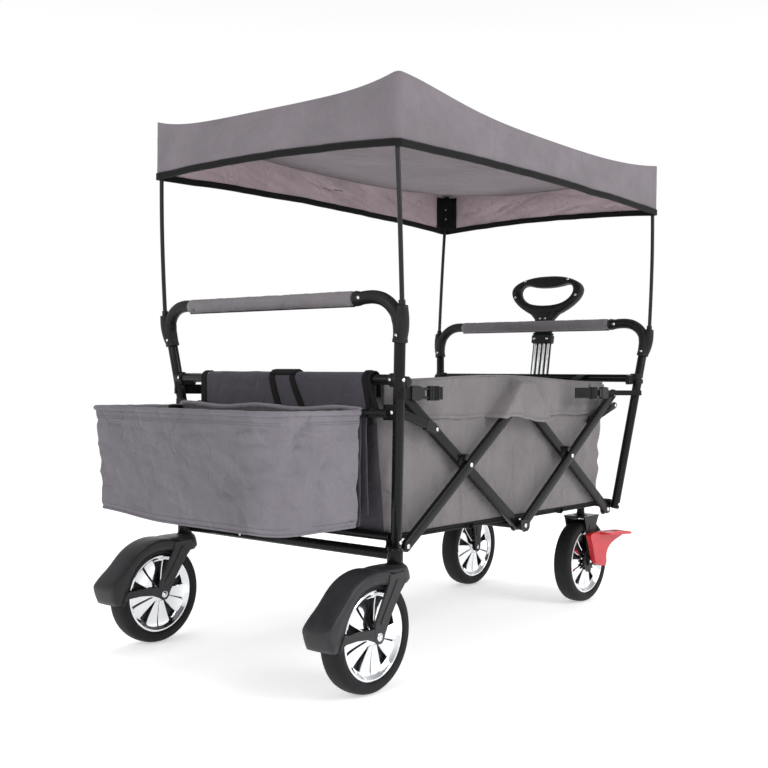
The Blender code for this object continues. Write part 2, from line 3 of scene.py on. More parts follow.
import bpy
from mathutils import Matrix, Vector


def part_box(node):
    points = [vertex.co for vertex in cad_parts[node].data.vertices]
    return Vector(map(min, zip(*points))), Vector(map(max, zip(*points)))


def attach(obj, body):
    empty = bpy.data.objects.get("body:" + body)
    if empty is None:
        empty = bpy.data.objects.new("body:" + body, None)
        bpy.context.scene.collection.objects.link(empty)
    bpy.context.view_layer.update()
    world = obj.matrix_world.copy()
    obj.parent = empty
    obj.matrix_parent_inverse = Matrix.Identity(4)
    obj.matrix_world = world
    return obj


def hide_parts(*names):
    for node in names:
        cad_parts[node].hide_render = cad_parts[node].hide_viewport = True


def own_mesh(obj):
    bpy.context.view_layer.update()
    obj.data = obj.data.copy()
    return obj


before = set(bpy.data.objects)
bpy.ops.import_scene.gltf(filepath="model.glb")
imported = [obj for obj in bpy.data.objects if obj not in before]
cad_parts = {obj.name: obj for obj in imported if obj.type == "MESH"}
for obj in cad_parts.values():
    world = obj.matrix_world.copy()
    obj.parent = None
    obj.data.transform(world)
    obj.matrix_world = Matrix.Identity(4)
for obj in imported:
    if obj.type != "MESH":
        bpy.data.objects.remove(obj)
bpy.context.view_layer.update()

import math

import bmesh
import bpy
from mathutils import Matrix, Vector, noise

# The open frame's middle. Shapes are given from it, and finish_piece moves them to the shared frame.
MID_X = (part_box("rear_post_left")[0].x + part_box("front_post_left")[1].x) / 2
SIDES = (("left", 1), ("right", -1))
ENDS = (("rear", -1), ("front", 1))
WHEEL_RADIUS = 0.100
WHEEL_AT = {"rear": (-0.533, 0.280), "front": (0.428, 0.166)}


def at(x, y, z):
    """A point given from the middle of the open frame."""
    return Vector((x + MID_X, y, z))


def lerp(a, b, t):
    return a + (b - a) * t


def smoothstep(t):
    t = min(max(t, 0.0), 1.0)
    return t * t * (3 - 2 * t)


def rough_noise(point, scale, seed=0.0):
    return noise.noise(Vector(point) * scale + Vector((seed, 2.3 * seed, -seed)))


def crease_lines(point, scale, seed=0.0):
    """1 along thin wandering lines and 0 between them, as where cloth has been folded."""
    return max(0.0, 1 - 7.0 * abs(rough_noise(point, scale, seed)))


# ---------------------------------------------------------------- materials
class Finish:
    """Builds one procedural material on the Principled shader."""

    def __init__(self, name, roughness, metallic=0.0):
        self.material = bpy.data.materials.new(name)
        self.material.use_nodes = True
        self.tree = self.material.node_tree
        self.shader = self.tree.nodes["Principled BSDF"]
        self.shader.inputs["Roughness"].default_value = roughness
        self.shader.inputs["Metallic"].default_value = metallic
        self.coords = self.add("ShaderNodeTexCoord").outputs["Object"]
        self.heights = []

    def add(self, kind, **values):
        node = self.tree.nodes.new(kind)
        for key, value in values.items():
            if key in node.inputs:
                node.inputs[key].default_value = value
            else:
                setattr(node, key, value)
        return node

    def link(self, source, target):
        self.tree.links.new(source, target)

    def stretched(self, scale):
        mapping = self.add("ShaderNodeMapping")
        mapping.inputs["Scale"].default_value = scale
        self.link(self.coords, mapping.inputs["Vector"])
        return mapping.outputs["Vector"]

    def noise(self, scale, detail=3.0, roughness=0.55, stretch=None):
        node = self.add("ShaderNodeTexNoise", Scale=scale, Detail=detail, Roughness=roughness)
        self.link(self.stretched(stretch) if stretch else self.coords, node.inputs["Vector"])
        return node.outputs["Fac"]

    def ramp(self, source, low, high):
        node = self.add("ShaderNodeValToRGB")
        for stop, place, colour in zip(node.color_ramp.elements, (0.35, 0.65), (low, high)):
            stop.position = place
            stop.color = (*colour, 1)
        self.link(source, node.inputs["Fac"])
        return node.outputs["Color"]

    def range(self, source, low, high, start=0.0, stop=1.0, **values):
        """Maps start..stop to low..high."""
        node = self.add("ShaderNodeMapRange", **values)
        for key, value in (("From Min", start), ("From Max", stop), ("To Min", low), ("To Max", high)):
            node.inputs[key].default_value = value
        self.link(source, node.inputs["Value"])
        return node.outputs["Result"]

    def multiply(self, base, tint, amount):
        mix = self.add("ShaderNodeMix", data_type="RGBA", blend_type="MULTIPLY")
        mix.inputs[0].default_value = amount
        self.link(base, mix.inputs[6])
        self.link(tint, mix.inputs[7])
        return mix.outputs[2]

    def math(self, operation, first, second=None, value=0.0):
        node = self.add("ShaderNodeMath", operation=operation)
        self.link(first, node.inputs[0])
        if second is not None:
            self.link(second, node.inputs[1])
        else:
            node.inputs[1].default_value = value
        return node.outputs["Value"]

    def colour(self, source):
        self.link(source, self.shader.inputs["Base Color"])

    def roughness(self, source):
        self.link(source, self.shader.inputs["Roughness"])

    def bump(self, source, strength, distance):
        node = self.add("ShaderNodeBump", Strength=strength, Distance=distance)
        self.link(source, node.inputs["Height"])
        if self.heights:
            self.link(self.heights[-1], node.inputs["Normal"])
        self.heights.append(node.outputs["Normal"])
        self.link(self.heights[-1], self.shader.inputs["Normal"])

    def pale_convex_edges(self, base, edge):
        """Mixes a paler tone in where the surface is sharply convex."""
        geometry = self.add("ShaderNodeNewGeometry")
        mix = self.add("ShaderNodeMix", data_type="RGBA")
        self.link(self.range(geometry.outputs["Pointiness"], 0.0, 1.0, 0.52, 0.64), mix.inputs[0])
        self.link(base, mix.inputs[6])
        mix.inputs[7].default_value = (*edge, 1)
        return mix.outputs[2]


def srgb(red, green, blue):
    """Linear colour of an 8-bit sRGB one."""
    return tuple(
        ((c / 255 + 0.055) / 1.055) ** 2.4 if c > 10 else c / 255 / 12.92 for c in (red, green, blue)
    )


def shade(colour, factor):
    return tuple(c * factor for c in colour)


def moulded(name, colour, roughness, grain=1400.0, depth=0.00012, coat=0.0):
    finish = Finish(name, roughness)
    mottled = finish.ramp(finish.noise(55), shade(colour, 0.88), shade(colour, 1.12))
    finish.colour(finish.pale_convex_edges(mottled, shade(colour, 1.9)))
    finish.roughness(finish.range(finish.noise(90), roughness - 0.07, roughness + 0.08))
    finish.bump(finish.noise(grain, detail=2.0), 0.25, depth)
    finish.shader.inputs["Coat Weight"].default_value = coat
    finish.shader.inputs["Coat Roughness"].default_value = 0.25
    finish.shader.inputs["Specular IOR Level"].default_value = 0.22
    return finish.material


def painted(name, colour, roughness):
    """Powder coat: an even colour with a fine orange peel."""
    finish = Finish(name, roughness)
    mottled = finish.ramp(finish.noise(30), shade(colour, 0.9), shade(colour, 1.1))
    finish.colour(finish.pale_convex_edges(mottled, shade(colour, 1.7)))
    finish.roughness(finish.range(finish.noise(160), roughness - 0.06, roughness + 0.06))
    finish.bump(finish.noise(900, detail=1.5), 0.12, 0.0001)
    finish.shader.inputs["Coat Weight"].default_value = 0.05
    finish.shader.inputs["Coat Roughness"].default_value = 0.12
    finish.shader.inputs["Specular IOR Level"].default_value = 0.15
    return finish.material


def metal(name, colour, roughness):
    finish = Finish(name, roughness, 1.0)
    finish.colour(finish.ramp(finish.noise(40), shade(colour, 0.93), shade(colour, 1.0)))
    finish.roughness(finish.range(finish.noise(120), roughness * 0.7, roughness * 1.4))
    return finish.material


def rubber(name, colour):
    finish = Finish(name, 0.62)
    dusty = finish.ramp(finish.noise(24, detail=5), shade(colour, 0.85), shade(colour, 1.25))
    finish.colour(dusty)
    finish.roughness(finish.range(finish.noise(70), 0.52, 0.74))
    finish.bump(finish.noise(700, detail=3), 0.22, 0.0002)
    finish.shader.inputs["Specular IOR Level"].default_value = 0.22
    return finish.material


def woven(name, colour, thread=900.0, crease=0.7, painted_side_light=None):
    """Plain-weave polyester with slub and a soft crumple. An optional last argument (start, stop, factor)
    paints light along X: the colour is scaled from 1 at start up to factor at stop, so one side is painted
    lighter.
    """
    finish = Finish(name, 0.86)
    split = finish.add("ShaderNodeSeparateXYZ")
    finish.link(finish.coords, split.inputs["Vector"])
    waves = []
    for axis in ("X", "Y", "Z"):
        scaled = finish.math("MULTIPLY", split.outputs[axis], value=thread * math.pi)
        waves.append(finish.math("SINE", scaled))
    weave = finish.math("ADD", finish.math("ADD", waves[0], waves[1]), waves[2])
    tone = finish.ramp(finish.noise(9, detail=4), shade(colour, 0.92), shade(colour, 1.08))
    slub = finish.ramp(finish.noise(260, detail=2), (0.78, 0.78, 0.78), (1, 1, 1))
    surface = finish.multiply(tone, slub, 0.30)
    surface = finish.multiply(surface, finish.range(weave, 0.55, 1.0, -2.0, 2.0), 0.14)
    if painted_side_light:
        start, stop, factor = painted_side_light
        soft = {"interpolation_type": "SMOOTHSTEP"}
        # The near rear corner is slack, so the painted lighter side reaches round it.
        reach = finish.range(split.outputs["Y"], 0.0, 0.070, -0.130, -0.215, **soft)
        along = finish.math("ADD", split.outputs["X"], reach)
        scale = finish.add("ShaderNodeVectorMath", operation="SCALE")
        finish.link(surface, scale.inputs[0])
        finish.link(finish.range(along, 1.0, factor, start, stop, **soft), scale.inputs["Scale"])
        surface = scale.outputs["Vector"]
    finish.colour(surface)
    finish.bump(finish.noise(34, detail=4, roughness=0.6), crease, 0.0020)
    finish.bump(finish.noise(1.0, detail=3, stretch=(22, 22, 7)), crease, 0.0022)
    fold = finish.math(
        "ABSOLUTE", finish.math("SUBTRACT", finish.noise(11, detail=3, roughness=0.5), value=0.5)
    )
    finish.bump(finish.math("MINIMUM", fold, value=0.06), crease, 0.030)
    finish.bump(weave, 0.25, 0.00012)
    finish.shader.inputs["Sheen Weight"].default_value = 0.12
    finish.shader.inputs["Sheen Roughness"].default_value = 0.5
    finish.shader.inputs["Specular IOR Level"].default_value = 0.15
    return finish.material


def webbing_finish(name, colour):
    finish = Finish(name, 0.7)
    ribs = finish.noise(1.0, detail=1, stretch=(900, 900, 900))
    finish.colour(finish.ramp(ribs, shade(colour, 0.7), shade(colour, 1.4)))
    finish.bump(ribs, 0.5, 0.0003)
    finish.shader.inputs["Sheen Weight"].default_value = 0.03
    finish.shader.inputs["Specular IOR Level"].default_value = 0.12
    return finish.material


PAINT = painted("charcoal_powder_coat", (0.0058, 0.0060, 0.0064), 0.27)
PLASTIC = moulded("black_moulded_plastic", (0.0090, 0.0093, 0.0098), 0.42)
FENDER = moulded("satin_fender_plastic", (0.0240, 0.0243, 0.0256), 0.36, grain=900)
BUCKLE = moulded("buckle_plastic", (0.0120, 0.0120, 0.0125), 0.34)
RUBBER = rubber("tyre_rubber", (0.0095, 0.0095, 0.0105))
CHROME = metal("bright_chrome", (0.86, 0.87, 0.89), 0.07)
CHROME_TUBE = metal("polished_handle_tube", (0.58, 0.59, 0.60), 0.12)
RIVET = metal("rivet_steel", (0.80, 0.80, 0.81), 0.20)
POLE = painted("pole_enamel", (0.020, 0.020, 0.022), 0.22)
CLOTH = woven("grey_polyester", srgb(121, 117, 118))
# The basket's side is painted lighter than its front: a painted lighting gradient along X that stands in for
# the side catching more light.
BASKET_CLOTH_PAINTED_LIGHT = woven(
    "basket_polyester_painted_light", srgb(108, 104, 110), crease=1.1, painted_side_light=(-0.700 + MID_X, -0.620 + MID_X, 1.36)
)
# A darker cloth, used on the tub's rear wall, the rear apron and the sheet between the basket and the tub.
DARK_CLOTH = woven("dark_polyester", srgb(77, 74, 81))
LINING = woven("dark_lining", srgb(84, 79, 82))
CANOPY_OUT = woven("canopy_polyester", srgb(121, 115, 120), crease=0.5)
# The roof's underside: a lighter, pinker copy of the canopy cloth, a painted glow of light coming through the
# thin cloth.
CANOPY_IN_PAINTED_GLOW = woven("canopy_underside_painted_glow", srgb(130, 120, 125), crease=0.5)
# The valance's inside: a much paler copy of the canopy cloth, painted light falling on the inside of the
# hanging edge.
VALANCE_IN_PAINTED_LIGHT = woven("valance_inside_painted_light", srgb(200, 182, 187), crease=0.9)
SLEEVE = woven("sleeve_polyester", srgb(122, 118, 122), crease=0.7)
WEBBING = webbing_finish("black_webbing", (0.0075, 0.0075, 0.0080))
THREAD = woven("grey_thread", srgb(92, 88, 90), thread=2500)
RED = moulded("red_pedal_plastic", srgb(176, 34, 42), 0.34, grain=1200, depth=0.00008, coat=0.3)
BRAKE = moulded("brake_hub_plastic", (0.014, 0.014, 0.015), 0.38)


# ---------------------------------------------------------------- mesh tools
def finish_piece(name, shape, finish, body, replaces=(), bevel=0.0, subdivide=0, angle=35):
    """Turns a bmesh into a piece that rides on a body."""
    bmesh.ops.remove_doubles(shape, verts=shape.verts, dist=1e-6)
    bmesh.ops.recalc_face_normals(shape, faces=shape.faces)
    bmesh.ops.translate(shape, verts=shape.verts, vec=(MID_X, 0, 0))
    mesh = bpy.data.meshes.new(name)
    shape.to_mesh(mesh)
    shape.free()
    mesh.shade_smooth()
    mesh.set_sharp_from_angle(angle=math.radians(angle))
    for one in finish if isinstance(finish, (list, tuple)) else [finish]:
        mesh.materials.append(one)
    piece = bpy.data.objects.new(name, mesh)
    bpy.context.scene.collection.objects.link(piece)
    if bevel:
        cut = piece.modifiers.new("bevel", "BEVEL")
        cut.width = bevel
        cut.segments = 2
        cut.limit_method = "ANGLE"
        cut.angle_limit = math.radians(40)
        cut.harden_normals = True
    if subdivide:
        smooth = piece.modifiers.new("subdivide", "SUBSURF")
        smooth.levels = subdivide
        smooth.render_levels = subdivide
    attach(piece, body)
    if replaces:
        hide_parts(*replaces)
    return piece


def skin_rings(shape, rings, closed=True, caps=True, slot=0):
    """Adds faces between rings of points. closed joins each ring's ends."""
    loops = [[shape.verts.new(point) for point in ring] for ring in rings]
    count = len(loops[0])
    for first, second in zip(loops, loops[1:]):
        for i in range(count if closed else count - 1):
            j = (i + 1) % count
            shape.faces.new((first[i], first[j], second[j], second[i])).material_index = slot
    if closed and caps:
        shape.faces.new(loops[0][::-1]).material_index = slot
        shape.faces.new(loops[-1]).material_index = slot
    return loops


def circle(radius, sides):
    turns = (2 * math.pi * i / sides for i in range(sides))
    return [(math.cos(a) * radius, math.sin(a) * radius) for a in turns]


def superellipse(half_x, half_y, power=4.0, count=32):
    ring = []
    for i in range(count):
        a = 2 * math.pi * i / count
        c, s = math.cos(a), math.sin(a)
        ring.append(
            (
                half_x * math.copysign(abs(c) ** (2 / power), c),
                half_y * math.copysign(abs(s) ** (2 / power), s),
            ),
        )
    return ring


def frames_along(path):
    """(point, side, up) at each point of a path, with as little twist as it can have."""
    path = [Vector(point) for point in path]
    found = []
    side = None
    for i, point in enumerate(path):
        ahead = (path[min(i + 1, len(path) - 1)] - path[max(i - 1, 0)]).normalized()
        if side is None:
            side = ahead.orthogonal()
        side = (side - ahead * side.dot(ahead)).normalized()
        found.append((point, side, side.cross(ahead)))
    return found


def add_pipe(shape, path, radii, sides=24, edge=0.0012, slot=0):
    """A round rod along a path, with softened ends where edge isn't 0."""
    path = [Vector(point) for point in path]
    if not isinstance(radii, (list, tuple)):
        radii = [radii] * len(path)
    outline = circle(1.0, sides)
    stations = frames_along(path)
    rings = []

    def ring(station, factor, shift=Vector()):
        point, side, over = station
        return [point + shift + side * (x * factor) + over * (y * factor) for x, y in outline]

    if edge:
        inward = (path[1] - path[0]).normalized() * edge
        rings.append(ring(stations[0], radii[0] - edge))
        rings.append(ring(stations[0], radii[0] - 0.3 * edge, inward * 0.3))
        rings.append(ring(stations[0], radii[0], inward))
        middle = list(zip(stations, radii))[1:-1]
    else:
        middle = list(zip(stations, radii))
    for station, radius in middle:
        rings.append(ring(station, radius))
    if edge:
        outward = (path[-1] - path[-2]).normalized() * edge
        rings.append(ring(stations[-1], radii[-1], -outward))
        rings.append(ring(stations[-1], radii[-1] - 0.3 * edge, -outward * 0.3))
        rings.append(ring(stations[-1], radii[-1] - edge))
    skin_rings(shape, rings, slot=slot)


def spline_point(a, b, c, d, t):
    """A Catmull-Rom point between b and c."""
    cubic = (3 * b - 3 * c + d - a) * t**3
    return 0.5 * (2 * b + (c - a) * t + (2 * a - 5 * b + 4 * c - d) * t**2 + cubic)


def smooth_path(points, steps):
    """Catmull-Rom points through the given ones."""
    points = [Vector(point) for point in points]
    padded = [2 * points[0] - points[1], *points, 2 * points[-1] - points[-2]]
    out = []
    for a, b, c, d in zip(padded, padded[1:], padded[2:], padded[3:]):
        out += [spline_point(a, b, c, d, i / steps) for i in range(steps)]
    return [*out, points[-1]]


def add_lathe(shape, profile, centre, axis=(0, 1, 0), sides=64, slot=0, closed=False):
    """Turns (radius, offset) points about an axis through centre. A closed profile makes a ring."""
    axis = Vector(axis).normalized()
    side = axis.orthogonal().normalized()
    over = axis.cross(side)
    centre = Vector(centre)
    loops = []
    for i in range(sides):
        a = 2 * math.pi * i / sides
        out = side * math.cos(a) + over * math.sin(a)
        loops.append([shape.verts.new(centre + out * r + axis * t) for r, t in profile])
    span = len(profile) if closed else len(profile) - 1
    for first, second in zip(loops, loops[1:] + loops[:1]):
        for i in range(span):
            j = (i + 1) % len(profile)
            shape.faces.new((first[i], first[j], second[j], second[i])).material_index = slot
    if not closed:
        for k in (0, -1):
            if profile[k][0] > 1e-5:
                shape.faces.new([loop[k] for loop in loops]).material_index = slot


def add_prism(shape, outline, low, high, axis="Y", slot=0):
    """An outline in XZ drawn out along Y, or one in XY drawn out along Z."""
    rings = []
    for t in sorted((low, high)):
        rings.append([Vector((p[0], t, p[1]) if axis == "Y" else (p[0], p[1], t)) for p in outline])
    skin_rings(shape, rings, slot=slot)


def add_box(shape, low, high, slot=0):
    (x0, y0, z0), (x1, y1, z1) = low, high
    add_prism(shape, [(x0, y0), (x1, y0), (x1, y1), (x0, y1)], z0, z1, "Z", slot)


def add_head(shape, point, axis, radius=0.0040, height=0.0020, slot=0):
    """A domed screw or rivet head with a shallow socket, standing on a surface."""
    dome = [(radius, -0.0010), (radius, 0.0)]
    dome += [(radius * math.cos(a), height * math.sin(a)) for a in (0.4, 0.8, 1.1)]
    socket = radius * 0.34
    dome += [(socket * 1.1, height * 0.97), (socket, height * 0.90), (socket * 0.85, height * 0.35)]
    dome += [(0.0, height * 0.30)]
    add_lathe(shape, dome, point, axis, 20, slot)


def add_strap(shape, path, width, thick, across):
    """A flat band along a path. across is the direction of its width."""
    path = [Vector(point) for point in path]
    across = Vector(across)
    rings = []
    for i, point in enumerate(path):
        ahead = (path[min(i + 1, len(path) - 1)] - path[max(i - 1, 0)]).normalized()
        side = (across - ahead * across.dot(ahead)).normalized() * width / 2
        up = side.cross(ahead).normalized() * thick / 2
        rings.append([point - side - up, point + side - up, point + side + up, point - side + up])
    skin_rings(shape, rings)


THREAD_RADIUS = 0.00032


def add_stitches(shape, path, normal, pitch=0.0042, length=0.0028, slot=0):
    """A row of short raised stitches that follows a path."""
    path = [Vector(point) for point in path]
    normal = Vector(normal)
    travelled, due = 0.0, pitch / 2
    for a, b in zip(path, path[1:]):
        span = (b - a).length
        if span < 1e-9:
            continue
        ahead = (b - a) / span
        side = ahead.cross(normal).normalized()
        while due <= travelled + span:
            centre = a + ahead * (due - travelled)
            rings = []
            for along, size in ((-0.5, 0.3), (-0.35, 1.0), (0.35, 1.0), (0.5, 0.3)):
                middle = centre + ahead * (length * along)
                ring = [middle + side * (x * size) + normal * (y * size) for x, y in circle(THREAD_RADIUS, 5)]
                rings.append(ring)
            skin_rings(shape, rings, slot=slot)
            due += pitch
        travelled += span


def sheet_grid(shape, columns, rows, place, loop=False):
    """A grid of points place(u, v) with u and v from 0 to 1. loop joins its first and last columns."""
    count = columns if loop else columns + 1
    grid = [[shape.verts.new(place(i / columns, j / rows)) for j in range(rows + 1)] for i in range(count)]
    for i in range(columns):
        n = (i + 1) % count
        for j in range(rows):
            shape.faces.new((grid[i][j], grid[n][j], grid[n][j + 1], grid[i][j + 1]))
    return grid


def thicken(piece, thickness, offset=-1.0, inner=None):
    """Gives a sheet its thickness. inner is how far the inner face's material is down the list."""
    skin = piece.modifiers.new("thickness", "SOLIDIFY")
    skin.thickness = thickness
    skin.offset = offset
    if inner is not None:
        skin.material_offset = inner
    return piece


# ---------------------------------------------------------------- stage
def make_camera():
    """The photograph's view: level with the tub's rim, from behind the basket and to its right."""
    camera = bpy.data.objects.new("camera", bpy.data.cameras.new("camera"))
    bpy.context.scene.collection.objects.link(camera)
    heading, pitch, roll = math.radians(38.906), math.radians(-0.165), math.radians(0.670)
    camera.location = at(-1.9732, -1.4757, 0.5349)
    look = Matrix.Rotation(heading - math.pi / 2, 4, "Z") @ Matrix.Rotation(math.pi / 2 + pitch, 4, "X")
    look = look @ Matrix.Rotation(roll, 4, "Z")
    camera.rotation_euler = look.to_euler()
    camera.data.sensor_width = 36.0
    camera.data.lens = 51.24
    bpy.context.scene.camera = camera


def make_stage():
    shape = bmesh.new()
    add_box(shape, (-14, -14, -0.02), (14, 14, 0.0))
    mesh = bpy.data.meshes.new("floor")
    shape.to_mesh(mesh)
    shape.free()
    floor = bpy.data.objects.new("floor", mesh)
    bpy.context.scene.collection.objects.link(floor)
    surface = Finish("pale_floor", 0.9)
    surface.colour(surface.ramp(surface.noise(3), (0.90, 0.90, 0.90), (0.93, 0.93, 0.93)))
    surface.shader.inputs["Emission Color"].default_value = (1, 1, 1, 1)
    surface.shader.inputs["Emission Strength"].default_value = 0.46
    mesh.materials.append(surface.material)

    world = bpy.data.worlds.new("studio")
    world.use_nodes = True
    nodes, links = world.node_tree.nodes, world.node_tree.links
    nodes["Background"].inputs["Strength"].default_value = 1.0
    # White all round and dimmer overhead, so that the sides aren't washed out.
    split = nodes.new("ShaderNodeSeparateXYZ")
    links.new(nodes.new("ShaderNodeTexCoord").outputs["Generated"], split.inputs["Vector"])
    sky = nodes.new("ShaderNodeValToRGB")
    sky.color_ramp.elements[0].position = 0.30
    sky.color_ramp.elements[0].color = (1, 1, 1, 1)
    sky.color_ramp.elements[1].position = 0.75
    sky.color_ramp.elements[1].color = (0.40, 0.41, 0.43, 1)
    links.new(split.outputs["Z"], sky.inputs["Fac"])
    links.new(sky.outputs["Color"], nodes["Background"].inputs["Color"])
    bpy.context.scene.world = world
    for name, where, size, power in (
        ("key", (0.4, -3.4, 2.4), 2.0, 58),
        ("top", (0.0, 0.4, 3.6), 2.6, 40),
        ("fill", (-3.6, 0.2, 2.0), 1.6, 26),
    ):
        light = bpy.data.lights.new(name, "AREA")
        light.size = size
        light.energy = power
        lamp = bpy.data.objects.new(name, light)
        lamp.location = where
        aim = Vector((0, 0, 0.4)) - Vector(where)
        lamp.rotation_euler = aim.to_track_quat("-Z", "Y").to_euler()
        bpy.context.scene.collection.objects.link(lamp)
    bpy.context.scene.view_settings.view_transform = "Standard"


make_camera()
make_stage()
# ---------------------------------------------------------------- frame
POST_RADIUS = 0.0103
POST_BOTTOM = Vector((0.4246, 0.2584, 0.2358))
POST_TOP = Vector((0.4750, 0.3010, 0.6020))
GRAB = Vector((0.4865, 0.215, 0.681))
CROSSBARS = {"rear": 0.537, "front": 0.548}


def corner(point, end, side):
    return Vector((point[0] * end, point[1] * side, point[2]))


def on_post(z):
    return POST_BOTTOM.lerp(POST_TOP, (z - POST_BOTTOM.z) / (POST_TOP.z - POST_BOTTOM.z))


def post(end_name, end, side_name, side):
    """A leaning steel post with a plastic plug in its foot."""
    shape = bmesh.new()
    foot, top = corner(POST_BOTTOM, end, side), corner(POST_TOP, end, side)
    add_pipe(shape, [foot, foot.lerp(top, 0.5), top], POST_RADIUS, 28)
    way = (foot - top).normalized()
    add_pipe(shape, [foot + way * -0.002, foot + way * 0.0012], 0.0086, 24, 0.0008, slot=1)
    node = f"{end_name}_post_{side_name}"
    body = f"{end_name}_frame"
    finish_piece(f"{node}_tube", shape, [PAINT, PLASTIC], body, [node])

    shape = bmesh.new()
    for z, radius in ((0.2450, 0.0042), (CROSSBARS[end_name], 0.0038)):
        spot = corner(on_post(z), end, side)
        for out in (-1, 1):
            add_head(shape, spot + Vector((0, out * (POST_RADIUS - 0.0003), 0)), (0, out, 0), radius)
    finish_piece(f"{node}_rivets", shape, RIVET, body)


def elbow(end_name, end, side_name, side):
    """The moulded bend between a post and the grab bar, with a socket at each end."""
    bend = [
        (0.4751, 0.3011, 0.6024),
        (0.4768, 0.3035, 0.6200),
        (0.4800, 0.3035, 0.6380),
        (0.4830, 0.2975, 0.6550),
        (0.4852, 0.2860, 0.6690),
        (0.4862, 0.2700, 0.6785),
        (0.4867, 0.2520, 0.6825),
        (GRAB.x, 0.2340, 0.6825),
        (GRAB.x, 0.2180, GRAB.z),
        (GRAB.x, 0.2085, GRAB.z),
    ]
    path = smooth_path([corner(p, end, side) for p in bend], 6)
    count = len(path) - 1
    radii = []
    for i in range(count + 1):
        t = i / count
        socket = 0.0012 * (1 - smoothstep((t - 0.25) / 0.06))
        mouth = 0.0012 * smoothstep((t - 0.86) / 0.03)
        radii.append(0.0120 + socket + mouth)
    shape = bmesh.new()
    add_pipe(shape, path, radii, 32, 0.0016)
    foot = path[0]
    way = (path[1] - path[0]).normalized()
    add_pipe(shape, [foot - way * 0.0004, foot + way * 0.0060], 0.0139, 32, 0.0012)
    mouth_x = Vector((0, -side, 0))
    add_pipe(shape, [path[-1] - mouth_x * 0.0060, path[-1]], 0.0139, 32, 0.0012)
    for out in (-1, 1):
        spot = corner((GRAB.x, 0.2240, GRAB.z + 0.0006), end, side) + Vector((out * 0.0122, 0, 0))
        add_head(shape, spot, (out, 0, 0), 0.0036, 0.0020, slot=1)
        spot = path[4] + Vector((out * 0.0130, 0, 0))
        add_head(shape, spot, (out, 0, 0), 0.0030, 0.0016, slot=1)
    ear = [
        (0.4762, 0.3035, 0.6050), (0.4790, 0.3085, 0.6200), (0.4828, 0.3125, 0.6420), (0.4858, 0.3135, 0.6660)
    ]
    ear = smooth_path([corner(p, end, side) for p in ear], 4)
    swell = [0.0105 + 0.0016 * math.sin(math.pi * i / (len(ear) - 1)) for i in range(len(ear))]
    add_pipe(shape, ear, swell, 24, 0.0014)
    node = f"{end_name}_elbow_{side_name}"
    finish_piece(f"{node}_moulding", shape, [PLASTIC, RIVET], f"{end_name}_frame", [node])


def knuckle(end_name, end, side_name, side):
    """The plastic hinge block where the crossbar, the tub corner and the post meet."""
    z = CROSSBARS[end_name]
    spot = corner(on_post(z), end, side)
    inward = Vector((-end, 0, 0))
    shape = bmesh.new()
    if end > 0:
        add_pipe(shape, [spot + Vector((0, 0, -0.013)), spot + Vector((0, 0, 0.012))], 0.0116, 28, 0.0014)
    ear = [(-0.0060, -0.0130), (0.0330, -0.0150), (0.0380, -0.0060), (0.0330, 0.0060), (-0.0060, 0.0100)]
    outline = [(spot.x + inward.x * u, spot.z + w) for u, w in ear]
    add_prism(shape, outline, spot.y - side * 0.0060, spot.y - side * 0.0160)
    drum = spot + inward * 0.0270 + Vector((0, 0, -0.0040))
    if end < 0:
        for x, z in circle(0.0096, 14):
            rib = drum + Vector((x, 0, z))
            add_pipe(
                shape, [rib + Vector((0, -0.0150 * side, 0)), rib + Vector((0, -0.0008 * side, 0))], 0.0009,
                6, 0.0003,
            )
        add_pipe(
            shape, [drum + Vector((0, -0.0185 * side, 0)), drum + Vector((0, 0.0010 * side, 0))], 0.0098, 28,
            0.0018,
        )
    arm = spot - Vector((0, side * 0.0190, 0))
    add_pipe(shape, [spot, arm], 0.0118, 24, 0.0014)
    add_head(shape, arm + Vector((end * 0.0112, side * 0.006, 0)), (end, 0, 0), 0.0030, 0.0016, slot=1)
    finish_piece(
        f"{end_name}_knuckle_{side_name}", shape, [PLASTIC, RIVET], f"{end_name}_frame", bevel=0.0010
    )


def level_bar(name, node, body, x, z, reach, radius):
    shape = bmesh.new()
    add_pipe(shape, [(x, -reach, z), (x, 0, z), (x, reach, z)], radius, 28)
    finish_piece(name, shape, [PAINT, RIVET], body, [node])


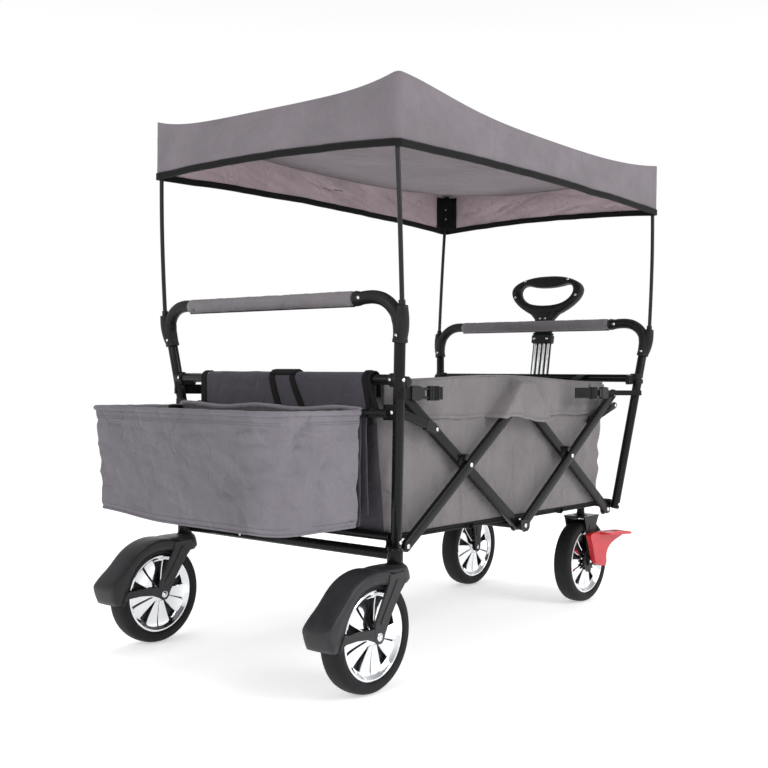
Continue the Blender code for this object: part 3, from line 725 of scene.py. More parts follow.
def end_frames():
    for end_name, end in ENDS:
        for side_name, side in SIDES:
            post(end_name, end, side_name, side)
            elbow(end_name, end, side_name, side)
            knuckle(end_name, end, side_name, side)
        body = f"{end_name}_frame"
        z = CROSSBARS[end_name]
        place = on_post(z)
        level_bar(f"{end_name}_grab_rail", f"{end_name}_grab_bar", body, end * GRAB.x, GRAB.z, 0.2146, 0.0085)
        level_bar(
            f"{end_name}_crossbar_tube", f"{end_name}_top_crossbar", body, end * place.x, z, place.y - 0.0115,
            0.0095,
        )
    level_bar("rear_floor_tube", "rear_floor_bar", "rear_frame", -on_post(0.253).x, 0.253, 0.2475, 0.0080)
    axle = on_post(0.246)
    level_bar("front_axle_tube", "front_axle_bar", "front_frame", axle.x, 0.246, 0.2470, 0.0105)
    level_bar("centre_floor_tube", "centre_floor_bar", "rear_falling_links", 0.0, 0.235, 0.2398, 0.0085)

    shape = bmesh.new()
    bar_x, bar_z = -0.441, 0.2248
    add_pipe(shape, [(bar_x, -0.270, bar_z), (bar_x, 0, bar_z), (bar_x, 0.270, bar_z)], 0.0100, 28)
    for _, side in SIDES:
        centre = (-0.455, side * 0.280, 0.0)
        cup = [
            (0.0072, 0.2128), (0.0138, 0.2128), (0.0145, 0.2140), (0.0145, 0.2340), (0.0128, 0.2392),
            (0.0080, 0.2404), (0.0, 0.2406),
        ]
        add_lathe(shape, cup, centre, (0, 0, 1), 32)
        ring = [(0.0132, 0.2096), (0.0160, 0.2100), (0.0160, 0.2126), (0.0132, 0.2130)]
        add_lathe(shape, ring, centre, (0, 0, 1), 32, slot=1, closed=True)
        if side > 0:
            add_head(shape, (bar_x - 0.0098, 0.120, bar_z), (-1, 0, 0), 0.0034, 0.0014, slot=2)
        post_foot = corner(POST_BOTTOM, -1, side)
        gusset = [
            (post_foot.x - 0.020, 0.2200), (post_foot.x + 0.008, 0.2210), (post_foot.x + 0.008, 0.2560),
            (post_foot.x - 0.004, 0.2600),
        ]
        add_prism(shape, gusset, side * 0.2440, side * 0.2470)
    finish_piece(
        "rear_caster_beam", shape, [PAINT, PLASTIC, RIVET], "rear_frame", ["rear_caster_bar"],
        bevel=0.0006,
    )


# ---------------------------------------------------------------- padded sleeves
def sleeve_shell(length, radius):
    """A quilted tube that swells between its end bands and the seam along its underside."""
    shape = bmesh.new()
    columns, rows = 40, 150

    def place(u, v):
        a = 2 * math.pi * u
        y = lerp(-length / 2, length / 2, v)
        edge = min(v, 1 - v) * length
        tuck = 0.0022 * (1 - smoothstep(edge / 0.008))
        seam = 0.0016 * math.exp(-(((a - 1.5 * math.pi) / 0.16) ** 2))
        r = radius - tuck - seam
        return Vector((math.cos(a) * r, y, math.sin(a) * r))

    grid = sheet_grid(shape, columns, rows, place, loop=True)
    for k in (0, rows):
        shape.faces.new([grid[i][k] for i in range(columns)])
    bmesh.ops.recalc_face_normals(shape, faces=shape.faces)
    return shape


def inflated(shape, cap, held):
    """Blows cloth up from the inside for 20 frames and gives back how each point moved, at most cap."""
    mesh = bpy.data.meshes.new("swelling")
    shape.to_mesh(mesh)
    start = [v.co.copy() for v in mesh.vertices]
    soft = bpy.data.objects.new("swelling", mesh)
    bpy.context.scene.collection.objects.link(soft)
    pins = soft.vertex_groups.new(name="held")
    pins.add([i for i, co in enumerate(start) if held(co)], 1.0, "REPLACE")
    cloth = soft.modifiers.new("cloth", "CLOTH")
    cloth.settings.quality = 5
    cloth.settings.use_pressure = True
    cloth.settings.uniform_pressure_force = 4.0
    cloth.settings.tension_stiffness = 25
    cloth.settings.bending_stiffness = 0.6
    cloth.settings.effector_weights.gravity = 0.0
    cloth.settings.vertex_group_mass = "held"
    for frame_number in range(1, 21):
        bpy.context.scene.frame_set(frame_number)
    evaluated = soft.evaluated_get(bpy.context.evaluated_depsgraph_get())
    moved = [v.co - co for v, co in zip(evaluated.to_mesh().vertices, start)]
    evaluated.to_mesh_clear()
    bpy.context.scene.frame_set(1)
    bpy.data.objects.remove(soft, do_unlink=True)
    bpy.data.meshes.remove(mesh)
    return [step.normalized() * min(step.length, cap) if step.length else step for step in moved]


def sleeves():
    length, shift_y = 0.4400, 0.0130

    def held(co):
        """The end bands and the seam below, which don't swell."""
        return abs(co.y) > length / 2 - 0.004 or (co.z < -0.011 and abs(co.x) < 0.003)

    for end_name, end in ENDS:
        shape = sleeve_shell(length, 0.0142)
        steps = inflated(shape, 0.0014, held)
        shape.verts.ensure_lookup_table()
        for vert, step in zip(shape.verts, steps):
            vert.co += step
        for vert in shape.verts:
            round_way = Vector((vert.co.x, 0, vert.co.z))
            if round_way.length < 1e-6:
                continue
            fine = rough_noise(Vector((vert.co.x * 1.2, vert.co.y, vert.co.z * 1.2)), 95, end * 3.1)
            broad = rough_noise(vert.co, 22, end * 7.7)
            vert.co += round_way.normalized() * (fine * 0.0007 + broad * 0.0006)
            vert.co += Vector((end * GRAB.x, shift_y, GRAB.z))
        name = f"{end_name}_grab_padding"
        piece = finish_piece(
            name, shape, SLEEVE, f"{end_name}_frame", [f"{end_name}_grab_sleeve"],
            subdivide=1, angle=60,
        )

        shape = bmesh.new()
        below = [(end * GRAB.x, shift_y + lerp(-0.2185, 0.2185, i / 60), GRAB.z - 0.0136) for i in range(61)]
        add_strap(shape, below, 0.0062, 0.0020, (1, 0, 0))
        for shift in (-0.0022, 0.0022):
            row = [Vector(p) + Vector((shift, 0, -0.0011)) for p in below]
            add_stitches(shape, row, (0, 0, -1), slot=1)
        finish_piece(f"{end_name}_grab_seam", shape, [WEBBING, THREAD], f"{end_name}_frame")


# ---------------------------------------------------------------- wheels
def tyre(name, node, centre, body):
    half = [
        (0.0780, 0.0160),
        (0.0790, 0.0188),
        (0.0815, 0.0206),
        (0.0850, 0.0214),
        (0.0890, 0.0216),
        (0.0897, 0.0211),
        (0.0905, 0.0213),
        (0.0945, 0.0202),
        (0.0976, 0.0166),
        (0.0992, 0.0112),
        (0.0999, 0.0056),
        (0.1000, 0.0010),
    ]
    profile = half + [(r, -t) for r, t in reversed(half)]
    shape = bmesh.new()
    add_lathe(shape, profile, centre, sides=96, closed=True)
    finish_piece(name, shape, RUBBER, body, [node], angle=50)


def rim(name, node, centre, body):
    """A bright moulded rim: five pairs of spokes on each face, a polished lip and a black core."""
    shape = bmesh.new()
    core = [(0.0705, -0.0060), (0.0775, -0.0150), (0.0775, 0.0150), (0.0705, 0.0060)]
    add_lathe(shape, core, centre, sides=64, slot=1, closed=True)
    web = [(0.0150, -0.0032), (0.0720, -0.0022), (0.0720, 0.0022), (0.0150, 0.0032)]
    add_lathe(shape, web, centre, sides=64, slot=1, closed=True)
    for face in (-1, 1):
        lip = [
            (0.0778, 0.0160),
            (0.0774, 0.0184),
            (0.0758, 0.0192),
            (0.0738, 0.0190),
            (0.0722, 0.0176),
            (0.0680, 0.0118),
            (0.0640, 0.0100),
            (0.0632, 0.0072),
            (0.0650, 0.0040),
            (0.0778, 0.0040),
        ]
        add_lathe(shape, [(r, t * face) for r, t in lip], centre, sides=80, closed=True)
        hub = [
            (0.0055, 0.0200), (0.0105, 0.0204), (0.0132, 0.0196), (0.0185, 0.0150), (0.0205, 0.0120),
            (0.0205, 0.0020), (0.0055, 0.0020),
        ]
        add_lathe(shape, [(r, t * face) for r, t in hub], centre, sides=48, closed=True)
        for i in range(5):
            turn = Matrix.Rotation(2 * math.pi * i / 5 + 0.31, 4, "Y")
            for arm in (-1, 1):
                stations = (
                    (0.0160, 0.0004, 0.0102, 0.0166),
                    (0.0290, 0.0006, 0.0165, 0.0142),
                    (0.0460, 0.0009, 0.0240, 0.0118),
                    (0.0600, 0.0013, 0.0300, 0.0112),
                    (0.0675, 0.0016, 0.0336, 0.0126),
                )
                rings = []
                for radius, near, far, top in stations:
                    ring = []
                    chamfer = 0.0013
                    for w, t in (
                        (near, top - 0.0068),
                        (near, top - chamfer),
                        (near + chamfer, top),
                        (far - chamfer, top),
                        (far, top - chamfer),
                        (far, top - 0.0068),
                    ):
                        ring.append(Vector(centre) + turn @ Vector((radius, face * t, arm * w)))
                    rings.append(ring)
                skin_rings(shape, rings)
    finish_piece(name, shape, [CHROME, BRAKE], body, [node], angle=32)


def wheels():
    for end_name, (x, track) in WHEEL_AT.items():
        for side_name, side in SIDES:
            centre = Vector((x, side * track, WHEEL_RADIUS))
            body = f"{end_name}_wheel_{side_name}"
            tyre(f"{end_name}_tyre_tread_{side_name}", f"{end_name}_tyre_{side_name}", centre, body)
            rim(f"{end_name}_spoked_rim_{side_name}", f"{end_name}_rim_{side_name}", centre, body)


# ---------------------------------------------------------------- casters
def fender_radius(degrees):
    """Outer radius of the fender about the hub: an arch that flares into a lip behind the wheel."""
    table = [
        (20, 0.1095), (60, 0.1110), (138, 0.1112), (146, 0.1128), (153, 0.1170), (160, 0.1240), (165, 0.1296)
    ]
    table += [(167.5, 0.1322), (169, 0.1328), (170.5, 0.1322), (176, 0.1270), (184, 0.1192)]
    for (a, low), (b, high) in zip(table, table[1:]):
        if degrees <= b:
            return lerp(low, high, max(degrees - a, 0) / (b - a))
    return table[-1][1]


def fender(centre):
    """The thin moulded shell over the top and back of the wheel, with cheeks down to the rim."""
    angles = [54 + i * 3 for i in range(34)] + [
        155, 157.5, 160, 162.5, 165, 166.5, 167.5, 168.3, 169, 169.7, 170.5, 172, 175, 178, 181, 184
    ]
    shape = bmesh.new()
    rings = []
    for degrees in angles:
        a = math.radians(degrees)
        outer = fender_radius(degrees)
        inner = lerp(0.0880, 0.0915, smoothstep((degrees - 90) / 40))
        inner = lerp(inner, 0.1000, smoothstep((degrees - 176) / 9))
        flare = 0.0020 * smoothstep((degrees - 145) / 22)
        section = [
            (inner, 0.0286),
            (lerp(inner, outer, 0.35), 0.0292),
            (outer - 0.0090, 0.0296 + flare),
            (outer - 0.0050, 0.0292 + flare),
            (outer - 0.0022, 0.0274 + flare),
            (outer - 0.0007, 0.0245 + flare),
            (outer - 0.0001, 0.0200),
            (outer + 0.0004, 0.0100),
            (outer + 0.0005, 0.0),
        ]
        section += [(r, -t) for r, t in reversed(section[:-1])]
        rings.append([centre + Vector((math.cos(a) * r, t, math.sin(a) * r)) for r, t in section])
    skin_rings(shape, rings, closed=False)
    return shape


def caster(side_name, side):
    x, track = WHEEL_AT["rear"]
    y = side * track
    hub = Vector((x, y, WHEEL_RADIUS))
    body = f"caster_{side_name}"
    shape = fender(hub)
    bmesh.ops.recalc_face_normals(shape, faces=shape.faces)
    shell = finish_piece(
        f"caster_fender_{side_name}", shape, FENDER, body, [f"rear_fork_{side_name}"],
        angle=24,
    )
    thicken(shell, 0.0022, offset=-1.0 if shell.data.polygons[200].normal.z > 0 else 1.0)

    def plan(x0, x1, half, z, power):
        outline = superellipse((x1 - x0) / 2, half, power, 40)
        return [hub + Vector(((x0 + x1) / 2 + u, v, z)) for u, v in outline]

    shape = bmesh.new()
    saddle = [
        plan(0.0560, 0.0940, 0.0240, 0.0800, 2.4),
        plan(0.0500, 0.1000, 0.0290, 0.0880, 2.4),
        plan(0.0330, 0.0985, 0.0300, 0.0990, 2.4),
        plan(0.0080, 0.0970, 0.0290, 0.1060, 2.6),
        plan(0.0060, 0.0955, 0.0275, 0.1092, 2.6),
        plan(0.0140, 0.0930, 0.0230, 0.1104, 2.6),
    ]
    skin_rings(shape, saddle)
    stem = [(0.0062, 0.104), (0.0062, 0.140), (0.0, 0.1402)]
    add_lathe(shape, stem, hub + Vector((0.078, 0, 0)), (0, 0, 1), 24)
    collar = [(0.0, 0.1060), (0.0200, 0.1070), (0.0190, 0.1105), (0.0150, 0.1118), (0.0, 0.1120)]
    add_lathe(shape, collar, hub + Vector((0.078, 0, 0)), (0, 0, 1), 32)
    strut = [(0.0700, 0.1040), (0.0745, 0.0880), (0.0563, 0.0690), (0.0300, 0.0310), (0.0145, 0.0020)]
    strut += [(0.0120, -0.0060), (0.0060, -0.0118), (-0.0040, -0.0122), (-0.0110, -0.0070), (-0.0128, 0.0030)]
    strut += [(-0.0112, 0.0225), (0.0070, 0.0570), (0.0240, 0.0880), (0.0270, 0.1020)]
    arm = [(0.0, 0.0150), (-0.0180, 0.0155), (-0.0472, 0.0172), (-0.0700, 0.0160), (-0.0900, 0.0160)]
    arm += [
        (-0.0985, 0.0020), (-0.1010, -0.0116), (-0.0935, -0.0030), (-0.0860, 0.0015), (-0.0571, 0.0026),
        (-0.0300, 0.0000), (0.0, -0.0115),
    ]
    for face in (-1, 1):
        add_prism(shape, [(hub.x + u, hub.z + w) for u, w in strut], y + face * 0.0262, y + face * 0.0312)
        add_prism(shape, [(hub.x + u, hub.z + w) for u, w in arm], y + face * 0.0264, y + face * 0.0305)
        upper, lower = (0.0480, 0.0860, 0.0060), (0.0060, 0.0240, 0.0042)
        way = (Vector(lower[:2]) - Vector(upper[:2])).normalized()
        over = Vector((-way.y, way.x))
        outline = []
        for (u, w, r), sign in ((upper, -1), (lower, 1)):
            for k in range(9):
                a = math.pi * k / 8
                spot = Vector((u, w)) + (over * math.cos(a) * sign * -1 + way * math.sin(a) * sign) * r
                outline.append((hub.x + spot.x, hub.z + spot.y))
        add_prism(shape, outline, y + face * 0.0305, y + face * 0.0330)
    finish_piece(f"caster_fork_{side_name}", shape, FENDER, body, bevel=0.0011, angle=38)

    shape = bmesh.new()
    for face in (-1, 1):
        spot = hub + Vector((0, face * 0.0310, 0))
        add_lathe(
            shape, [(0.0072, -0.0006), (0.0072, 0.0008), (0.0066, 0.0012), (0.0, 0.0012)], spot, (0, face, 0),
            28,
        )
        add_head(shape, spot + Vector((0, face * 0.0012, 0)), (0, face, 0), 0.0052, 0.0030)
        add_pipe(shape, [hub, spot], 0.0050, 20, 0.0)
    finish_piece(f"caster_axle_bolt_{side_name}", shape, RIVET, body)


# ---------------------------------------------------------------- front forks and brakes
def front_fork(side_name, side):
    x, track = WHEEL_AT["front"]
    y = side * track
    hub = Vector((x, y, WHEEL_RADIUS))
    shape = bmesh.new()
    low, high = y - 0.0285, y + 0.0285
    add_prism(shape, [(0.395, 0.2060), (0.466, 0.2060), (0.468, 0.2110), (0.393, 0.2110)], low, high)
    for face in (-1, 1):
        low, high = sorted((y + face * 0.0242, y + face * 0.0283))
        leg = [
            (0.3950, 0.2085), (0.4020, 0.1900), (0.4135, 0.1350), (0.4155, 0.1000), (0.4195, 0.0905),
            (0.4280, 0.0875),
        ]
        leg += [(0.4365, 0.0905), (0.4405, 0.1000), (0.4425, 0.1350), (0.4560, 0.1900), (0.4660, 0.2085)]
        add_prism(shape, leg, low, high)
        low, high = sorted((y + face * 0.0283, y + face * 0.0292))
        dimple = [(0.4180, 0.1900), (0.4230, 0.1300), (0.4330, 0.1300), (0.4400, 0.1900)]
        add_prism(shape, dimple, low, high)
    stem = [(0.0170, 0.2108), (0.0165, 0.2125), (0.0105, 0.2140), (0.0092, 0.2200), (0.0092, 0.2375)]
    add_lathe(shape, stem, (on_post(0.246).x, y, 0), (0, 0, 1), 28)
    node = f"front_fork_{side_name}"
    finish_piece(f"{node}_steel", shape, PAINT, "front_frame", [node], bevel=0.0012)

    shape = bmesh.new()
    for face in (-1, 1):
        spot = hub + Vector((0, face * 0.0284, 0))
        add_head(shape, spot, (0, face, 0), 0.0048, 0.0026)
        add_pipe(shape, [hub, spot], 0.0049, 18, 0.0)
    for out in (-1, 1):
        add_head(shape, Vector((on_post(0.246).x + out * 0.0102, y, 0.246)), (out, 0, 0), 0.0036)
    finish_piece(f"front_axle_bolt_{side_name}", shape, RIVET, "front_frame")

    shape = bmesh.new()
    face = side
    base = hub + Vector((0, face * 0.0198, 0))
    drum = [
        (0.0060, 0.0), (0.0215, 0.0), (0.0225, 0.0010), (0.0225, 0.0034), (0.0170, 0.0040), (0.0060, 0.0040)
    ]
    add_lathe(shape, [(r, t * face) for r, t in drum], base, (0, 1, 0), 48, closed=True)
    for i in range(16):
        turn = Matrix.Rotation(2 * math.pi * i / 16, 4, "Y")
        tooth = [(0.0218, -0.0026), (0.0272, -0.0014), (0.0272, 0.0014), (0.0218, 0.0026)]
        rings = [[base + turn @ Vector((u, t * face, w)) for u, w in tooth] for t in (0.0004, 0.0034)]
        skin_rings(shape, rings)
    finish_piece(f"brake_ring_{side_name}", shape, BRAKE, f"front_wheel_{side_name}", bevel=0.0004)


def pedal(side_name, side):
    """The red brake lever: a tapered cover over the axle end and a tread that sticks out ahead."""
    start = 0.1962 * side
    top = [
        (0.3985, 0.1650), (0.4060, 0.1700), (0.4300, 0.1712), (0.4700, 0.1705), (0.5200, 0.1680),
        (0.5580, 0.1650), (0.5740, 0.1612),
    ]
    low_edge = [
        (0.5750, 0.1560), (0.5600, 0.1510), (0.5250, 0.1430), (0.5000, 0.1340), (0.4850, 0.1210),
        (0.4810, 0.1080), (0.4820, 0.0950), (0.4770, 0.0850),
    ]
    left = [(0.4500, 0.0880), (0.4300, 0.0975), (0.4190, 0.1150), (0.4100, 0.1420)]
    outline = smooth_path(
        [(x, 0, z) for x, z in top + low_edge], 3
    ) + smooth_path([(x, 0, z) for x, z in left], 3)
    outline = [(p.x, p.z) for p in outline]
    shape = bmesh.new()
    add_prism(shape, outline, start, start + side * 0.0130)
    tread = [
        (0.4480, 0.1704), (0.4480, 0.1650), (0.5300, 0.1592), (0.5745, 0.1562), (0.5735, 0.1610),
        (0.5560, 0.1648), (0.5100, 0.1682),
    ]
    stations = ((0.0010, 0.0), (0.0230, 0.0), (0.0320, 0.0020), (0.0360, 0.0060))
    rings = []
    for reach, inset in stations:
        rings.append([(lerp(x, 0.5350, inset * 14), start + side * reach, z) for x, z in tread])
    skin_rings(shape, rings)
    for i in range(6):
        x = 0.5050 + i * 0.0100
        z = lerp(0.1684, 0.1616, (x - 0.505) / 0.068)
        add_pipe(shape, [(x, start + side * 0.004, z), (x, start + side * 0.028, z)], 0.0012, 8, 0.0004)
    node = f"brake_pedal_{side_name}"
    finish_piece(
        f"{node}_cover", shape, RED, f"pedal_{side_name}", [node], bevel=0.0016, angle=38
    )


# ---------------------------------------------------------------- folding links
LINKS = {
    "rear_rising_link": ((-0.4, 0.235), (0.0, 0.510), 0.2615),
    "rear_falling_link": ((-0.4, 0.510), (0.0, 0.235), 0.2480),
    "front_rising_link": ((0.0, 0.235), (0.4, 0.510), 0.2615),
    "front_falling_link": ((0.0, 0.510), (0.4, 0.235), 0.2480),
}


def add_link(shape, start, stop, y, width, thick):
    """A flattened tube with round ends, seen side on in the XZ plane."""
    start, stop = Vector((start[0], 0, start[1])), Vector((stop[0], 0, stop[1]))
    way = (stop - start).normalized()
    over = Vector((-way.z, 0, way.x))
    corner_radius = thick * 0.34
    section = []
    for cx, cy, a0 in ((1, 1, 0), (-1, 1, 90), (-1, -1, 180), (1, -1, 270)):
        for k in range(4):
            a = math.radians(a0 + 30 * k)
            section.append(
                (
                    cx * (width / 2 - corner_radius) + math.cos(a) * corner_radius,
                    cy * (thick / 2 - corner_radius) + math.sin(a) * corner_radius,
                )
            )
    rings = []
    span = (stop - start).length
    ends = [(-width / 2 * math.cos(a), math.sin(a)) for a in (0.06, 0.35, 0.7, 1.1)]
    stations = [(d, f) for d, f in ends] + [(0.0, 1.0), (span / 2, 1.0), (span, 1.0)]
    stations += [(span - d, f) for d, f in reversed(ends)]
    for distance, factor in stations:
        middle = start + way * distance
        rings.append([middle + over * (a * factor) + Vector((0, y + b, 0)) for a, b in section])
    skin_rings(shape, rings)


def links():
    for side_name, side in SIDES:
        for name, (start, stop, offset) in LINKS.items():
            body = f"{name}s"
            node = f"{name}_{side_name}"
            shape = bmesh.new()
            y = side * offset
            add_link(shape, start, stop, y, 0.0225, 0.0118)
            finish_piece(f"{node}_bar", shape, PAINT, body, [node], angle=30)
            shape = bmesh.new()
            outer = y + side * 0.0058
            spots = [start, stop]
            if "rising" in name:
                spots.append(((start[0] + stop[0]) / 2, (start[1] + stop[1]) / 2))
            for x, z in spots:
                add_head(shape, (x, outer, z), (0, side, 0), 0.0050, 0.0026)
            finish_piece(f"{node}_rivets", shape, RIVET, body)
        for end_name, end, offset in (("rear", -1, 0.2615), ("front", 1, 0.2480)):
            slope = math.radians(16.8)
            start = Vector((end * 0.435, 0.482))
            stop = start + Vector((-end * math.cos(slope), -math.sin(slope))) * 0.128
            shape = bmesh.new()
            y = side * offset
            add_link(shape, start, stop, y, 0.0165, 0.0078)
            for spot in (start, stop):
                add_head(shape, (spot.x, y + side * 0.0038, spot.y), (0, side, 0), 0.0042, 0.0024, slot=1)
            node = f"{end_name}_stay_{side_name}"
            finish_piece(
                f"{node}_bar", shape, [PAINT, RIVET], f"{end_name}_stays", [node], angle=30
            )
            shape = bmesh.new()
            tip = start.lerp(stop, 0.86)
            block = [
                Vector((-0.016, -0.010)), Vector((0.014, -0.0105)), Vector((0.018, -0.003)),
                Vector((0.018, 0.006)), Vector((0.010, 0.0105)), Vector((-0.016, 0.009)),
            ]
            turn = Matrix.Rotation(math.atan2(stop.y - start.y, stop.x - start.x), 2)
            outline = [tuple(tip + turn @ p) for p in block]
            add_prism(shape, outline, y - side * 0.0050, y + side * 0.0046)
            finish_piece(
                f"{end_name}_stay_shoe_{side_name}", shape, PLASTIC, f"{end_name}_stays", bevel=0.0012
            )

        for name, centre_x, body in (
            ("rear", -0.2, "rear_rising_links"), ("front", 0.2, "front_rising_links")
        ):
            shape = bmesh.new()
            z = 0.3725
            inner = side * 0.2546
            wedge = [
                (-0.0300, 0.0010), (-0.0200, 0.0150), (-0.0020, 0.0190), (0.0040, 0.0120), (-0.0060, -0.0060),
                (-0.0200, -0.0090),
            ]
            outline = [(centre_x + u, z + w) for u, w in wedge]
            add_prism(shape, outline, inner - side * 0.0020, inner + side * 0.0026)
            low, high = sorted((inner - side * 0.0090, inner + side * 0.0100))
            cap = [
                (-0.0190, 0.0120), (-0.0130, 0.0200), (-0.0050, 0.0215), (-0.0040, 0.0150), (-0.0120, 0.0080)
            ]
            add_prism(shape, [(centre_x + u, z + w) for u, w in cap], low, high)
            washer = [(0.0052, -0.0006), (0.0108, -0.0006), (0.0108, 0.0006), (0.0052, 0.0006)]
            add_lathe(shape, washer, (centre_x, side * 0.2548, z), (0, 1, 0), 28, closed=True)
            finish_piece(f"{name}_cross_bushing_{side_name}", shape, PLASTIC, body, bevel=0.0010)

        for tag, x, z, body in (
            ("mid_low", 0.0, 0.235, "rear_falling_links"),
            ("rear_low", -0.4, 0.235, "rear_frame"),
            ("front_low", 0.4, 0.235, "front_frame"),
            ("front_high", 0.4, 0.510, "front_rising_links"),
            ("mid_high", 0.0, 0.510, "front_falling_links"),
        ):
            shape = bmesh.new()
            spacer = [
                (0.0052, 0.2392), (0.0135, 0.2392), (0.0142, 0.2400), (0.0142, 0.2418), (0.0052, 0.2418)
            ]
            add_lathe(shape, [(r, side * t) for r, t in spacer], (x, 0, z), (0, 1, 0), 32, closed=True)
            if tag == "mid_low":
                plate = [
                    (-0.0160, -0.0060), (-0.0080, -0.0130), (0.0080, -0.0130), (0.0160, -0.0060),
                    (0.0180, 0.0120), (-0.0180, 0.0120),
                ]
                add_prism(shape, [(x + u, z + w) for u, w in plate], side * 0.2682, side * 0.2700)
                add_head(shape, (x, side * 0.2700, z), (0, side, 0), 0.0050, 0.0024, slot=1)
            elif tag in ("rear_low", "front_low"):
                end = 1 if x > 0 else -1
                plate = [
                    (x - end * 0.006, z - 0.0120), (end * 0.4300, z - 0.0060), (end * 0.4320, z + 0.0180),
                    (x + end * 0.004, z + 0.0120),
                ]
                add_prism(shape, plate, side * 0.2395, side * 0.2418)
            finish_piece(f"{tag}_joint_{side_name}", shape, [PLASTIC, RIVET], body, bevel=0.0007)

# ---------------------------------------------------------------- tub
TUB_LOW, TUB_TOP = 0.250, 0.5475


def tub_fold(piece):
    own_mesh(piece)
    return piece


def tub_rim(x, y):
    """Height of the tub's upper edge: highest at the middle of the sides, lower at the ends."""
    along = smoothstep((x + 0.43) / 0.38) if x < -0.05 else 1 - smoothstep((x + 0.05) / 0.43)
    return lerp(0.5360, TUB_TOP, along) if abs(y) > 0.2 else lerp(0.5300, 0.5360, abs(y) / 0.2)


def tub_outline(t, x0, x1, half, radius):
    """(point, outward) on a rounded rectangle, t from 0 to 1, anticlockwise from the rear right corner."""
    straight_x, straight_y = x1 - x0 - 2 * radius, 2 * (half - radius)
    arc = math.pi / 2 * radius
    d = t * (2 * straight_x + 2 * straight_y + 4 * arc)
    legs = (
        (straight_x, (x0 + radius, -half), (1, 0), (x1 - radius, -half + radius), -90),
        (straight_y, (x1, -half + radius), (0, 1), (x1 - radius, half - radius), 0),
        (straight_x, (x1 - radius, half), (-1, 0), (x0 + radius, half - radius), 90),
        (straight_y, (x0, half - radius), (0, -1), (x0 + radius, -half + radius), 180),
    )
    for span, start, way, pivot, turn in legs:
        out = Vector((way[1], -way[0]))
        if d <= span:
            return Vector(start) + Vector(way) * d, out
        d -= span
        if d <= arc:
            a = math.radians(turn) + d / radius
            out = Vector((math.cos(a), math.sin(a)))
            return Vector(pivot) + out * radius, out
        d -= arc
    return Vector(legs[0][1]), Vector((0, -1))


def tub_wall_point(t, v):
    """The tub's cloth wall, v from the hem at 0 to the rim at 1."""
    x0, x1 = lerp(-0.414, -0.450, v), lerp(0.402, 0.418, v)
    flat, out = tub_outline(t, x0, x1, lerp(0.2325, 0.2345, v), 0.030)
    z = lerp(TUB_LOW, tub_rim(flat.x, flat.y), v)
    point = Vector((flat.x, flat.y, z))
    slack = math.sin(math.pi * min(v * 1.04, 1.0)) ** 0.6
    broad = rough_noise((point.x * 1.0, point.y, point.z * 0.7), 7.5, 4.0)
    tall = rough_noise((point.x * 3.2, point.y * 3.2, point.z * 0.55), 11, 9.0)
    fine = rough_noise((point.x, point.y, point.z * 0.8), 42, 2.0)
    push = slack * (0.0040 * broad + 0.0042 * tall + 0.0014 * fine)
    front = smoothstep((point.x - 0.30) / 0.08)
    frill = math.sin(
        point.z * 88 + 2.4 * math.sin(point.z * 37 + point.y * 3)
    ) * front * smoothstep((abs(point.y) - 0.14) / 0.07)
    push += 0.0019 * frill * slack
    push += slack * 0.0022 * crease_lines((point.x, point.y, point.z * 0.8), 7.0, 3.0)
    push -= slack * 0.0018 * crease_lines((point.x * 2.2, point.y * 2.2, point.z * 0.7), 6.0, 8.0)
    rear = smoothstep((-0.33 - point.x) / 0.08)
    push += 0.0012 * rear * slack * math.sin(point.z * 90 + point.x * 55)
    push = min(push, 0.0040)
    along_side = smoothstep((abs(out.y) - 0.7) / 0.3)
    point.x += out.x * push * 1.3
    point.y += out.y * lerp(push * 1.3, push * 0.8, along_side)
    return point


def tub():
    shape = bmesh.new()
    columns, rows = 420, 56
    sheet_grid(shape, columns, rows, tub_wall_point, loop=True)
    for i, face in enumerate(shape.faces):
        _, out = tub_outline((i // rows + 0.5) / columns, -0.43, 0.41, 0.234, 0.030)
        # Faces pointing to -X, the rear wall, take the darker cloth.
        face.material_index = 2 if out.x < -0.85 else 0
    area = sum(face.calc_area() for face in shape.faces)
    walls = finish_piece(
        "tub_walls", shape, [CLOTH, LINING, DARK_CLOTH, LINING], "rear_frame", ["tub"],
        angle=80,
    )
    thicken(walls, 0.0026, 1.0 if walls.data.polygons[0].normal.y > 0 else -1.0, 1)
    tub_fold(walls)

    shape = bmesh.new()

    def board(u, v):
        x, y = lerp(-0.410, 0.387, u), lerp(-0.2285, 0.2285, v)
        fold = 0.0
        for seam in (0.25, 0.5, 0.75):
            fold += 0.0016 * math.exp(-(((u - seam) / 0.006) ** 2))
        return Vector((x, y, 0.2590 - fold + 0.0008 * rough_noise((x, y, 0), 16)))

    sheet_grid(shape, 160, 60, board)
    floor = finish_piece("tub_floor_mat", shape, [LINING], "rear_frame", angle=60)
    thicken(floor, 0.0050, 0.0)
    tub_fold(floor)

    pipings = (("hem", 0.004, 0.0026, (1.0, 1.0), 0.0), ("lower", 0.0, 0.0034, (0.99, 0.985), 0.0048))
    for name, v, radius, inward, drop in pipings:
        shape = bmesh.new()
        path = [tub_wall_point(i / 260, v) for i in range(261)]
        path = [Vector((p.x * inward[0], p.y * inward[1], p.z - drop)) for p in path]
        add_pipe(shape, path, radius, 10, 0.0)
        tub_fold(finish_piece(f"tub_{name}_piping", shape, WEBBING, "rear_frame", angle=60))

    shape = bmesh.new()
    path = [tub_wall_point(i / 420, 1.0) for i in range(421)]
    add_pipe(shape, path, 0.0029, 10, 0.0)
    tub_fold(finish_piece("tub_rim_fold", shape, CLOTH, "rear_frame", angle=60))

    for side_name, side in SIDES:
        tub_side_trim(side_name, side)
    for end_name, end in ENDS:
        corner_flaps(end_name, end)
    rear_apron()


